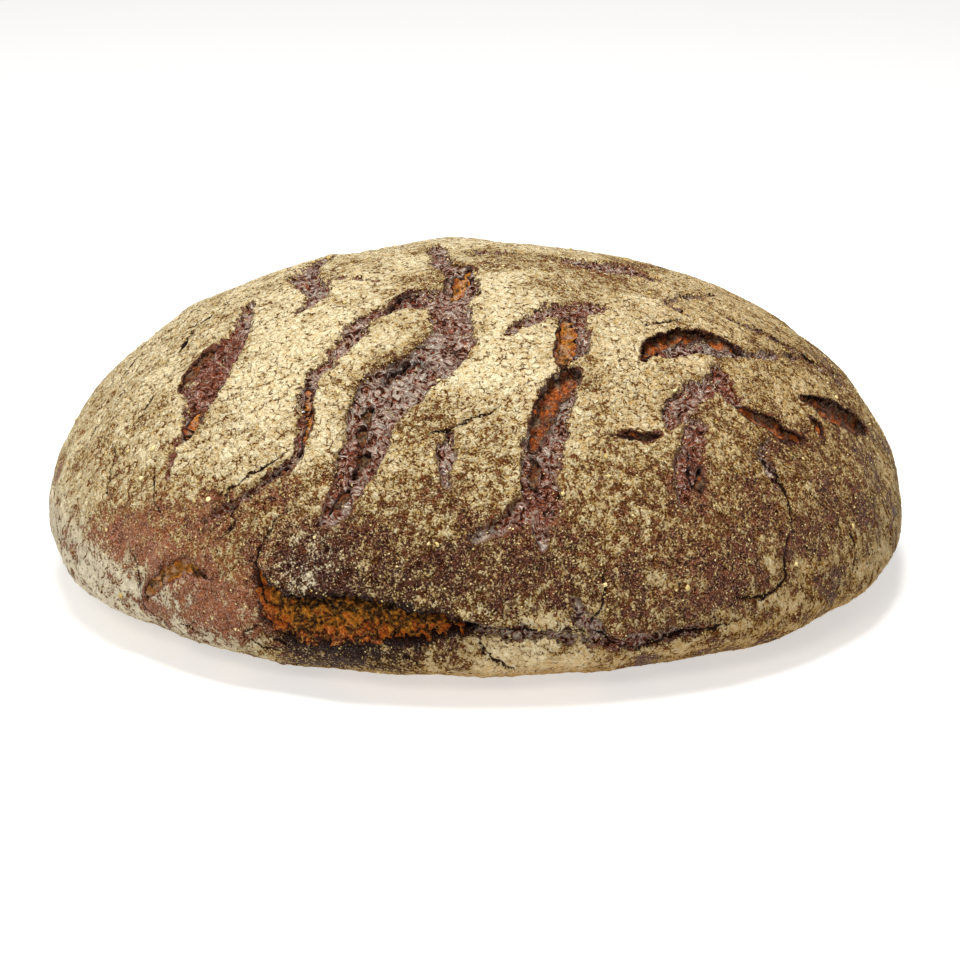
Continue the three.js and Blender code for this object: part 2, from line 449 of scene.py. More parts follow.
STRIPS: list[Stops] = [
    # Bare skin that stretched while the dough rose, so it carries no flour.
    # left
    ((-84, 58.5, 3), (-76.5, 57, 5), (-69.5, 54, 9), (-65.5, 51, 12), (-62, 47.5, 13)),
    ((-62, 47.5, 13), (-59.5, 44.5, 12), (-57.5, 42, 9.5), (-55.5, 39, 7), (-54, 36, 5)),
    ((-54, 36, 5), (-53.5, 32.5, 3.5), (-53, 29.5, 2.5), (-52, 26, 1.5)),
    (
        (-123.5, 64, 4), (-109.5, 65.5, 8), (-94, 66.5, 9), (-76, 68, 7), (-69, 66, 5),
        (-65.5, 63.5, 2.5),
    ),
    ((-82.5, 70, 2.5), (-79.5, 73, 2.5), (-68.5, 75.5, 1.5)),
    (
        (-28.5, 76, 6), (-36.5, 73, 8), (-39, 69.5, 6), (-42, 66, 5), (-39, 61.5, 8.5),
        (-37.5, 56, 5),
    ),
    (
        (-37.5, 56, 5), (-38, 51, 3.5), (-35.5, 46.5, 3.5), (-33, 40.5, 3), (-32, 35, 3.5),
        (-35, 30, 2.5),
    ),
    ((-35, 30, 2.5), (-38, 25, 2), (-42, 20, 1.5)),
    # the broad glossy strip from the crown to the middle
    (
        (-154.5, 77, 5), (-128.5, 83.5, 6), (-66, 85, 8), (-27.5, 84.5, 9), (-10.5, 78.5, 10),
        (-13, 73.5, 11.5),
    ),
    ((-13, 73.5, 11.5), (-8.5, 66, 12.5), (-9, 61, 13), (-13.5, 56.5, 15), (-18.5, 52.5, 17)),
    ((-18.5, 52.5, 17), (-21, 48.5, 16), (-21.5, 45, 14), (-20.5, 40.5, 13), (-20.5, 37, 12)),
    ((-20.5, 37, 12), (-21, 33, 10), (-21.5, 29, 7.5), (-23, 24.5, 3)),
    ((-12.5, 73.5, 8), (-26, 73, 7), (-37, 72, 5)),
    # crown
    ((-172.5, 82.5, 4), (150, 83, 4), (127.5, 80.5, 3)),
    ((106, 79.5, 4), (97.5, 74.5, 9), (98.5, 71, 11), (99.5, 68, 9), (94, 65, 4)),
    # right
    ((9.5, 64.5, 1.5), (17, 67, 3.5), (29.5, 70, 5), (41.5, 70, 7), (51, 69, 6)),
    ((40, 69, 5), (33, 64.5, 9), (30, 61, 8), (24.5, 57.5, 6)),
    ((24, 54, 5), (19, 51.5, 8), (15, 45, 10.5), (12, 39, 10.5), (11, 31.5, 9.5), (11, 28, 7)),
    ((10.5, 29.5, 7), (7.5, 27.5, 6), (5, 26, 5), (2, 24, 3.5), (0, 22.5, 2)),
    ((10.5, 28, 4.5), (9.5, 24.5, 3.5), (10, 21, 2)),
    ((96, 56.5, 2), (89, 59.5, 2.5), (81, 62.5, 3), (74.5, 63, 3), (72.5, 60.5, 1.5)),
    (
        (48, 55.5, 3), (56.5, 55.5, 6), (61.5, 53.5, 7), (68, 49, 4), (76.5, 45, 2.5),
        (82, 42, 1.5),
    ),
    ((83, 54, 2), (84, 50.5, 3.5), (84.5, 45, 3), (84.5, 38.5, 2), (86, 32, 1.5)),
    ((57, 49.5, 4), (55.5, 47, 6.5), (54, 43, 5.5)),
    ((53.5, 47.5, 5), (48, 46.5, 6), (43.5, 45.5, 7), (39.5, 43.5, 6), (37, 41, 3)),
    ((42.5, 40.5, 4), (40, 38, 7.5), (37.5, 35, 8.5), (35.5, 32, 7), (33, 27, 2.5)),
    ((54, 34, 3), (50.5, 31.5, 4), (50, 29, 3.5), (49.5, 25, 2)),
    ((-5, 43, 2), (-5.5, 39.5, 4.5), (-5.5, 36, 4), (-5, 32.5, 2)),
    # low on the front
    (
        (-1, 5.5, 3), (3.5, 4, 3.5), (9, 3.5, 3), (16, 1.5, 4.5), (20, -0.5, 4), (24.5, 0.5, 3),
        (31, 1.5, 2),
    ),
    ((14, 10, 3), (15, 6, 4.5), (17.5, 2.5, 4)),
    # back
    ((-128, 28, 3), (-134, 42, 9), (-140, 51, 9), (-150, 58, 4)),
    ((-160, 18, 4), (-168, 34, 10), (-172, 48, 11), (-176, 58, 4)),
    ((158, 14, 4), (163, 30, 9), (160, 46, 10), (150, 57, 4)),
    ((128, 20, 4), (124, 38, 9), (130, 53, 8)),
]

GAPE = 0  # the place of the large tear in RIFTS
RIFTS: list[Rift] = [
    # low on the front: the gape and the small tear left of it
    Rift(
        (
            (-32, 13.5, 2), (-31, 10.5, 5), (-29.5, 8, 8), (-27, 5, 11.5), (-23.5, 4.5, 13),
            (-18.5, 5.5, 13), (-13.5, 5.5, 11.5), (-9.5, 5, 9.5), (-6, 5.5, 7), (-3, 5.5, 4.5),
            (-0.5, 5, 2),
        ),
        floor=8.0, lean=0.5, toast=0.45,
    ),
    Rift(
        (
            (-49.5, 1, 1.5), (-48.5, 4.5, 3.5), (-47, 6.5, 3.5), (-45, 9.5, 4.5), (-43, 11, 4),
            (-41, 10.5, 2.5), (-39.5, 10, 1.5),
        ),
        floor=1.0, toast=0.0,
    ),
    # left
    Rift(
        ((-70.5, 51.5, 1), (-69, 49, 2.4), (-66.5, 46, 3), (-65, 44, 3), (-62.5, 41.5, 1.5)),
        floor=3.0, lean=-0.2, toast=1.2,
    ),
    Rift(((-57, 41, 1.5), (-55, 37.5, 4), (-53.5, 34.5, 2)), floor=1.6, toast=0.3),
    Rift(
        (
            (-39, 51, 1.2), (-36.5, 48, 2.5), (-34.5, 45, 2.6), (-32.5, 42.5, 2.4),
            (-31.5, 36.5, 1.2),
        ),
        floor=1.6, toast=0.4,
    ),
    Rift(
        ((-41, 76, 1.2), (-41.5, 74, 2.2), (-41, 71.5, 2.5), (-38.5, 68, 1)),
        floor=2.2, lean=0.3, toast=1.1,
    ),
    # the broad strip and the crown
    Rift(
        ((-12.5, 58, 1), (-17.5, 58.2, 2.6), (-20.5, 56, 3), (-23, 53.5, 1)),
        floor=3.0, lean=0.5, toast=1.1,
    ),
    Rift(
        ((-22.5, 48.5, 1.4), (-23, 46.5, 2.8), (-21.5, 44.5, 1.5)),
        floor=1.8, lean=0.1, toast=1.35,
    ),
    Rift(((-22.5, 44, 1.5), (-22, 42, 3.2), (-21, 39.5, 1.6)), floor=1.8, lean=0.1, toast=1.35),
    Rift(
        ((-19.5, 38.5, 1.5), (-20, 36.5, 3.6), (-21, 33.5, 1.5)),
        floor=1.8, lean=0.1, toast=1.35,
    ),
    Rift(
        ((-21, 31.5, 1.2), (-21.5, 29.5, 2.8), (-23, 26.5, 1.4)),
        floor=1.8, lean=0.1, toast=1.35,
    ),
    Rift(((-24.5, 87, 2), (-15.5, 82, 5), (-13, 76, 2.5)), floor=1.5, toast=0.15),
    Rift(
        ((37.5, 68.5, 2.5), (31.5, 64.5, 5.5), (26, 60, 5.5), (22, 56.5, 3)),
        floor=1.0, toast=0.1,
    ),
    # right
    Rift(
        (
            (24.5, 54.5, 3), (19.5, 52, 6.5), (16, 49, 6), (13.5, 45.5, 6), (11.5, 42, 4.5),
            (10, 39.5, 2),
        ),
        floor=1.5, lean=0.15, toast=0.85,
    ),
    Rift(
        ((9.5, 38.5, 1.2), (10.5, 36.5, 2.8), (9.5, 34, 2.6), (10, 31, 1.2)),
        floor=1.4, toast=1.3,
    ),
    Rift(
        (
            (43, 55, 1.5), (49.5, 57.5, 4), (58, 58, 5), (64, 56.5, 5), (67, 53.5, 4),
            (68.5, 49, 1.4),
        ),
        floor=3.4, lean=0.4, toast=0.8,
    ),
    Rift(((84.5, 49, 1.2), (84.5, 45, 2.6), (85, 42, 1.2)), floor=2.0, lean=0.3, toast=1.0),
    Rift(
        ((53.5, 42.5, 1.4), (54, 39.5, 4), (56, 36.5, 5.5), (58, 33.5, 5), (60.5, 31.5, 2)),
        floor=2.4, lean=0.4, toast=0.7,
    ),
    Rift(
        ((69, 37.5, 2), (71, 34.5, 7), (74, 31, 9.5), (77, 28, 9), (79.5, 25, 4)),
        floor=3.2, lean=0.45, toast=0.7,
    ),
    Rift(((66, 34, 1.4), (66, 32, 3.4), (64.5, 30, 1.4)), floor=2.2, toast=0.9),
    Rift(
        ((27, 41, 1), (29.5, 41, 2), (31.5, 39.8, 2.8), (34, 40, 1.2)),
        floor=1.8, lean=0.3, toast=1.1,
    ),
    Rift(((38.5, 33, 1.2), (37, 30, 2.4), (36, 27.5, 1.2)), floor=1.8, toast=1.1),
    Rift(
        ((-32.5, 34.5, 1.2), (-33.2, 32.5, 2.4), (-35, 30.5, 1)),
        floor=1.8, lean=0.3, toast=1.1,
    ),
    # back
    Rift(((-136, 34, 1.5), (-139, 48, 4.5), (-144, 62, 1.5)), floor=2.0, lean=0.2, toast=0.5),
    Rift(((-172, 44, 1.5), (-173, 56, 6), (-177, 66, 1.5)), floor=2.0, lean=0.2, toast=0.3),
    Rift(((162, 30, 1.5), (162, 44, 5.5), (156, 57, 1.5)), floor=2.2, toast=0.5),
    Rift(((118, 28, 1.5), (108, 36, 6), (100, 36, 1.5)), floor=2.8, lean=0.4, toast=0.6),
    Rift(((-104, 14, 1.5), (-112, 20, 5), (-124, 18, 1.5)), floor=2.0, toast=0.3),
    Rift(((140, 4, 1.5), (152, 6, 6.5), (166, 5, 1.5)), floor=3.6, lean=0.3, toast=0.5),
]

CRACKS: list[Stops] = [
    ((-83.5, 49, 1), (-80, 47.5, 2), (-77, 46, 1.6)),
    ((-99, 64, 0.6), (-97, 56.5, 0.9), (-89, 52, 1), (-87.5, 48.5, 0.6)),
    ((-94, 47, 0.6), (-91.5, 39, 1), (-85.5, 34, 0.6)),
    ((-78, 35, 0.5), (-77, 29, 0.8), (-74.5, 22, 0.5)),
    ((-68, 38, 0.8), (-66, 33, 0.8)),
    ((-66, 27, 0.5), (-63, 22, 0.9), (-62, 19, 0.5)),
    ((-55, 27, 0.5), (-52, 22, 0.8), (-50, 20, 0.5)),
    ((82.5, 54, 0.8), (84, 46.5, 1.6), (86.5, 37.5, 1.4), (91, 30.5, 0.8)),
    ((33.5, 39.5, 1), (29, 40.5, 1.8), (25.5, 41, 0.8)),
    ((50.5, 31.5, 0.7), (50.5, 24.5, 1.1), (49, 18, 0.9), (46.5, 13, 0.7), (46, 7.5, 1.3)),
    ((46, 7.5, 1.3), (44, 6, 1.7), (41, 5.3, 1.1), (37, 6.5, 0.6)),
    ((-1, 5.5, 1), (4, 4.5, 0.8), (9, 4, 0.7), (16, 3.6, 0.9), (20, -1, 1.2), (24, -5, 0.7)),
    ((23, -2, 0.8), (27.5, 0.5, 1.6), (31.5, 1, 1.4), (37, 1.5, 0.7)),
    ((18.5, 15.5, 0.5), (18, 10, 0.9), (15.5, 3.5, 0.6)),
    ((0, 3.5, 0.7), (1.5, -1.3, 1.2), (5.5, -12, 0.7)),
    ((-31, 24, 0.4), (-31.5, 21, 0.7), (-32.2, 17.5, 1), (-32, 14.5, 1.4)),
    ((-30, 0.5, 0.8), (-28.5, -2.5, 2), (-26, -6, 0.8)),
    ((-33, -1.5, 0.5), (-30.5, -7, 0.8), (-28, -9, 0.5)),
    ((-30, 2.5, 0.5), (-33, 0.5, 0.7), (-33, -3.2, 0.5)),
    ((-50.5, 2.5, 0.7), (-49.5, -1.7, 1.2), (-47, -11, 0.7)),
    ((-54, 12, 0.3), (-51.5, 8, 0.6), (-50.5, 3.5, 0.7)),
    ((-43, -3, 0.6), (-40.5, -5, 0.9), (-39, -6, 0.5)),
    ((37.8, 36, 0.6), (36, 31.5, 1), (35.8, 27, 0.6)),
    ((-24, 9.5, 0.5), (-25.5, 12.5, 0.9), (-24, 15.5, 0.4)),
    ((-10, -3, 0.4), (-8.5, -7, 0.8), (-8, -9, 0.4)),
    ((-33, 37, 0.6), (-36, 33, 1.1), (-41, 26, 0.7)),
    ((-39, 26, 0.6), (-37, 21, 1), (-38.5, 18, 0.6)),
    ((-9, 42.5, 0.5), (-5, 44, 1.3), (-1, 46, 0.8), (2, 47, 1.1), (5, 48, 0.5)),
    ((57, 62, 0.4), (63, 61.5, 0.9), (68, 60, 0.4)),
    ((59, 14, 0.5), (60, 8, 0.9), (58, 3, 0.5)),
    ((-131.5, 86, 1), (174, 84.5, 1.6), (125.5, 82.5, 1)),
]

SPOTS: list[Spot] = [
    # the big left plate and the left flank
    *spots(20, (-94, 83.5, 0.9)),
    *spots(
        13, (-44.5, 34.5, 0.96), (-48, 47.5, 1), (-53.5, 59.5, 1), (-57, 30, 0.85),
        (-68.5, 75.5, 0.95), (-80.5, 39.5, 0.85), (-74, 28, 0.84, 0.5), (-71.5, 18.5, 0.78, 0.7),
        (-89, 45.5, 0.84), (-64.5, 38, 0.92), (-61, 27, 0.7, 0.6), (-74, 9, 0.9, 1),
        (-64, 2, 1, 0.9), (-98, 68, 0.86), (-90, 22, 0.86, 0.6), (-88, 6, 0.82, 0.8),
        (-98, 56, 0.86),
    ),
    # between the first rift and the broad strip
    *spots(10, (-21, 52, 0.3, 0.1, 0.1)),
    *spots(9, (-30, 31, 0.5, 0.5), (-26.5, 64, 1), (-12.5, 68, 0.35, 0.4)),
    *spots(
        8, (-32.5, 53.5, 0.97), (-28.5, 42, 0.95), (-27.5, 36, 0.85), (-14, 60, 0.2, 0.1, 0.1),
        (-110, 50, 0.8, 0.5), (-100, 72, 0.6, 0.5),
    ),
    *spots(6, (-36, 79, 0.35, 0.3), (-30, 86, 0.4, 0.2), (-17, 31, 0.5)),
    *spots(5, (-62, 38.5, 0.6, 0.5), (-52, 41.5, 0.7, 0.4), (-27, 54.5, 0.55, 0.2)),
    # crown and the plates right of the strip
    *spots(22, (140, 78, 0.9)),
    *spots(
        13, (27, 78.5, 0.97), (16, 61.5, 1), (3, 52.5, 1), (-2, 47.5, 0.9), (0, 60, 1),
        (1.5, 40, 0.72), (5, 35, 0.68), (-7, 34, 0.5), (70, 77, 0.9),
    ),
    *spots(10, (-1, 70, 0.97), (-15.5, 30, 0.5)),
    *spots(9, (-13, 37, 0.86), (90, 87, 0.45, 0.3)),
    *spots(8, (48, 76, 0.5, 0.5), (120, 82, 0.3, 0.6)),
    *spots(7, (75, 80, 0.45, 0.6)),
    *spots(6, (-8, 45, 0.42), (-1, 37, 0.75), (1, 31, 0.55), (58, 72, 0.45, 0.6)),
    *spots(5, (-3, 47.5, 0.5), (-10, 41.5, 0.45)),
    # right of the deep strip
    *spots(
        13, (26, 48, 0.8), (17, 27, 0.54), (26, 31.5, 0.56), (36, 50, 0.84), (44, 61, 0.92),
        (64, 66.5, 0.84), (69, 58.5, 0.76), (81, 46, 0.7), (86, 36.5, 0.6), (65, 42.5, 0.7),
        (48, 38, 0.62), (48, 31, 0.5), (56, 25, 0.46), (66, 16.5, 0.5), (77, 22, 0.6),
        (41, 18, 0.4), (55, 8, 0.42), (28, 17, 0.44), (33, 8, 0.3), (100.5, 54.5, 0.85),
        (92, 62, 0.8),
    ),
    *spots(10, (18.5, 37, 0.78)),
    *spots(9, (48, 51.5, 0.9)),
    *spots(7, (78, 56, 0.75), (77, 38, 0.64)),
    *spots(6, (34, 46, 0.7), (44, 49, 0.85), (46, 42, 0.6)),
    *spots(5, (32, 57, 0.6), (26, 52, 0.45, 0.2), (38, 63, 0.75), (56, 60, 0.9)),
    # the front's lower half
    *spots(
        13, (-18.5, 23, 0.42, 0.2, 0.05), (-11, 21, 0.42, 0.1, 0.1), (-25, 17, 0.4, 0.2, 0.15),
        (-21, 12, 0.34, 0, 0.45), (-14.5, 13, 0.36, 0, 0.4), (-8, 11, 0.36, 0, 0.35),
        (-2.5, 27.5, 0.5, 0.2), (-1, 20, 0.36, 0.1, 0.1), (8, 18, 0.32, 0.1, 0.1),
        (14.5, 16, 0.4, 0.1), (-3, 12, 0.3, 0, 0.3),
    ),
    *spots(10, (4.5, 10, 0.62, 0.1), (13, 9, 0.6, 0.1)),
    *spots(9, (22, 7, 0.5, 0.1)),
    # lower left, red-brown and nearly bare
    *spots(
        13, (-52.5, 18, 0.38, 0.8), (-41.5, 17, 0.4, 0.6), (-34, 25.5, 0.45, 0.4),
        (-48, 24, 0.52, 0.7),
    ),
    *spots(11, (-39.5, 5.5, 0.16, 1)),
    *spots(10, (-59, 10.5, 0.2, 1)),
    *spots(9, (-45.5, -1, 0.12, 1)),
    *spots(8, (-33, 11, 0.4, 0.6), (-52, 12, 0.2, 0.9)),
    *spots(7, (-54, 4.5, 0.6, 0.9)),
    *spots(5, (-44, 5, 0.5, 0.9)),
    # scorched lip under the gape
    *spots(
        8, (-25, -1.5, 0.1, 0.2, 0.85), (-17.5, -2.5, 0.1, 0, 1), (-10, -1, 0.16, 0.1, 0.9),
    ),
    *spots(7, (-3, 1.5, 0.3, 0.5, 0.5)),
    # the floury band round the base
    *spots(
        13, (-66, -5, 1.05, 0.8), (46, -6, 0.78), (54.5, 0.5, 0.52), (60, -8, 0.8), (67, 2, 0.62),
        (80, 4, 0.62), (80, -8, 0.9), (30, -14, 0.72), (0, -17, 1.1), (-45, -16, 0.82, 0.6),
    ),
    *spots(10, (3, -4, 1.06), (14, -6, 1.08)),
    *spots(9, (-55, -5, 0.98, 0.8), (39, -1, 0.62)),
    *spots(
        8, (-40, -6, 0.95, 0.7), (-18.5, -13, 1.05), (-8, -10, 1.02), (8, -1, 0.98),
        (30.5, -3, 0.84),
    ),
    *spots(7, (-31, -9, 0.9, 0.5)),
    *spots(5, (23, 2, 0.22, 0.4)),
    # redder or greyer film in the bare strips
    *spots(
        6, (-67, 51, 0.9, 0.75), (-62, 46, 0.9, 0.9), (-19.5, 45, 0.6, 0.35),
        (-21, 37, 0.7, 0.75), (-22, 29.5, 0.6, 0.8), (-38, 70, 0.9, 0.5), (11, 32, 0.7, 0.9),
        (40, 37.5, 0.6, 0.75), (38, 68.5, 0.8, 0.6), (20, 0, 0.6, 0.8),
    ),
    *spots(
        5, (-57, 42, 0.8, 0.8), (-33, 41, 0.85, 0.7), (-38, 57, 0.9, 0.3), (11, 27.5, 0.6, 0.9),
        (5, 25.5, 0.5, 0.8), (13, 45, 0.8, 0.6), (56.5, 55.5, 0.85, 0.3), (54, 45, 0.7, 0.8),
        (46, 46, 0.75, 0.7), (36, 31, 0.55, 0.75),
    ),
    *spots(4, (18, 48, 0.8, 0.1)),
    # bare red-brown patches between raw flour, low on the left
    *spots(
        6, (-48.5, 12.5, 0.1, 1), (-35, 5, 0.1, 1), (-34.5, 21, 0.55, 0.5),
        (-43, 21, 0.48, 0.8),
    ),
    *spots(
        5, (-70, 13.5, 0.35, 1), (-66.5, -7, 0.3, 1), (-62, 4, 1, 1),
        (-54.5, -2.5, 0.3, 1), (-60, 0, 0.95, 1), (-57, 11, 0.15, 1), (-30, -2.5, 0.2, 0.8),
    ),
    *spots(4.5, (-82, 13, 0.3, 1)),
    *spots(
        4, (-75, 8, 0.35, 1), (-68.5, 5, 0.35, 1), (-80, 24, 0.6, 0.9), (-41, 6, 0.25, 1),
    ),
    *spots(3.5, (-51.5, 6.5, 0.85, 1), (-46, 5, 0.8, 1)),
    # scorched skin over the gape, whose grey is a painted reflection laid on as raw flour, and
    # clean scorched skin under the gape
    *spots(6, (-14, -2.5, 0.12, 0.1, 0.95)),
    *spots(
        5, (-26, 17, 0.3, 0.1, 0.45), (-22, 14.5, 0.26, 0.1, 0.5), (-19, -6.5, 0.15, 0, 0.9),
        (-12.5, -6, 0.3, 0.1, 0.6), (-9, -2.5, 0.1, 0.2, 0.8),
    ),
    *spots(
        4, (-27.5, 11, 0.5, 0.1, 0.45), (-18, 12, 0.24, 0, 0.45), (-4.5, -1, 0.25, 0.3, 0.6),
    ),
    # thinner or thicker flour in small places
    *spots(8, (29, -17, 0.5), (-56, 81, 0.58), (156, 82, 0.6)),
    *spots(
        7, (63.5, 69, 1.1), (68, 0, 1.05), (-46, -15.5, 0.5, 0.7), (-21.5, -10, 0.2, 0.1, 0.7),
        (-172, 83, 0.6), (-93, 48, 0.84), (-134, 79, 0.8), (84.5, 79, 0.3, 0.7),
        (111, 67, 0.45, 0.6),
    ),
    *spots(
        6, (-13, 35.5, 1.1), (-12, 26.5, 0.74), (54.5, 1.5, 0.76), (61, -3.5, 1.05),
        (24, -11.5, 0.45), (-30.5, -18, 0.6), (25.5, 25.5, 0.42), (52.5, 18, 0.54),
        (-61, 20, 0.92, 0.7), (49, 82, 1.1), (7.5, 68, 0.86), (-52, 47, 0.84), (23, 9.5, 0.66),
        (33, 15.5, 0.56), (21, 17.5, 0.34), (43, 59, 1), (29.5, 37.5, 0.6), (84, 75, 0.3, 0.7),
        (76, 71.5, 0.4, 0.6), (49.5, 77.5, 0.45, 0.6),
    ),
    *spots(
        5, (-36, 13.5, 0.5, 0.7), (25.5, 49.5, 1.05), (-20, 67.5, 1), (17.5, 21.5, 0.66),
        (-15, 22, 0.54), (42, 26.5, 0.62), (28, 44, 0.6), (-7.5, 13, 0.24, 0.1, 0.2),
        (13.5, 17.5, 0.26), (19.5, 30.5, 0.5), (-65, 68, 0.76), (37, 3.5, 0.28), (45, 0.5, 0.5),
        (74.5, 56, 0.98), (40, 59, 0.86), (3, 13, 0.5), (-39.5, 27, 0.7, 0.5),
        (-45.5, 30.5, 1.02), (71, 66.5, 1.1), (85, 60.5, 0.98), (12, 12.5, 0.56),
        (-36.5, 33.5, 0.9), (-72.5, 46, 0.9), (13, 24, 0.5), (20, 31, 0.5),
    ),
    *spots(4.5, (16, 31, 0.3)),
    *spots(
        4, (-33.5, 35, 1), (14.5, 26, 0.8), (-9, 36, 0.85), (-12.5, 31, 0.76),
        (-25.5, 34.5, 0.9), (-37.5, 32.5, 0.96), (-37.5, 66.5, 0.5, 0.3),
        (63.5, 52.5, 0.25, 0.2, 0.5), (42.5, 37, 0.5), (7.5, 41, 0.6), (-4, 9, 0.55, 0.1),
        (-42.5, 1.5, 0.12, 1), (-56, 1, 0.75, 0.9), (-35, 38, 1.05), (10.5, 26, 0.5, 0.9, 0.25),
        (62.5, 61, 1.02), (17.5, 39.5, 1), (46.5, 58.5, 1.1), (-2, 75, 1), (-12, 27, 0.85),
        (-9, 31.5, 0.7), (11.5, 1.5, 0.8, 0.3), (-58, 49.5, 0.6, 0.6), (25, 55.5, 0.85),
    ),
    *spots(3, (-37, 66, 0.3, 0.3)),
    # the back
    *spots(
        24, (-110, 50, 0.95), (-130, 40, 0.9), (-140, 62, 0.95), (-160, 46, 0.95),
        (180, 62, 0.95), (178, 32, 0.85), (150, 48, 0.9), (120, 42, 0.85), (180, -3, 0.9),
        (-150, -3, 0.88), (150, -12, 0.95),
    ),
    *spots(
        20, (-125, 20, 0.6, 0.6), (-105, 14, 0.75, 0.6), (-110, -4, 0.88), (-150, 25, 0.72),
        (165, 12, 0.4, 0.2), (140, 25, 0.55), (113, 20, 0.5), (100, 12, 0.5), (130, -4, 0.88),
        (-172, 12, 0.36, 0.5),
    ),
]


class SkinMap:
    """Blends the spots into smooth maps over the loaf."""

    def __init__(self, spots: list[Spot]) -> None:
        """Places the spots on the smooth loaf.

        Args:
            spots: what the skin is like at named places.
        """
        table = np.array([astuple(spot) for spot in spots])
        self.middle = FORM.place(table[:, 0], table[:, 1])
        self.values = table[:, 2:5]
        self.reach = table[:, 5]

    def at(self, points: Array) -> tuple[Array, Array, Array]:
        """Weighted means of the spots, each weighing exp(-(distance / reach)^2) and a little more.

        Args:
            points: positions in mm, shape (n, 3).

        Returns:
            Flour, red and soot, shape (n,) each.
        """
        gap = np.linalg.norm(points[:, None] - self.middle, axis=2) / self.reach
        weight = np.exp(-(gap**2)) + 1e-3 / (1 + gap**4)
        blended = weight @ self.values / weight.sum(axis=1, keepdims=True)
        return blended[:, 0], blended[:, 1], blended[:, 2]


@dataclass
class Survey:
    """What the relief says about places on the smooth loaf; all in mm, one value per place."""

    up: Array  # how far the crust stands out, rifts left aside
    sink: Array  # how far a rift takes it in, as vectors
    marks: dict[Mark, Array]


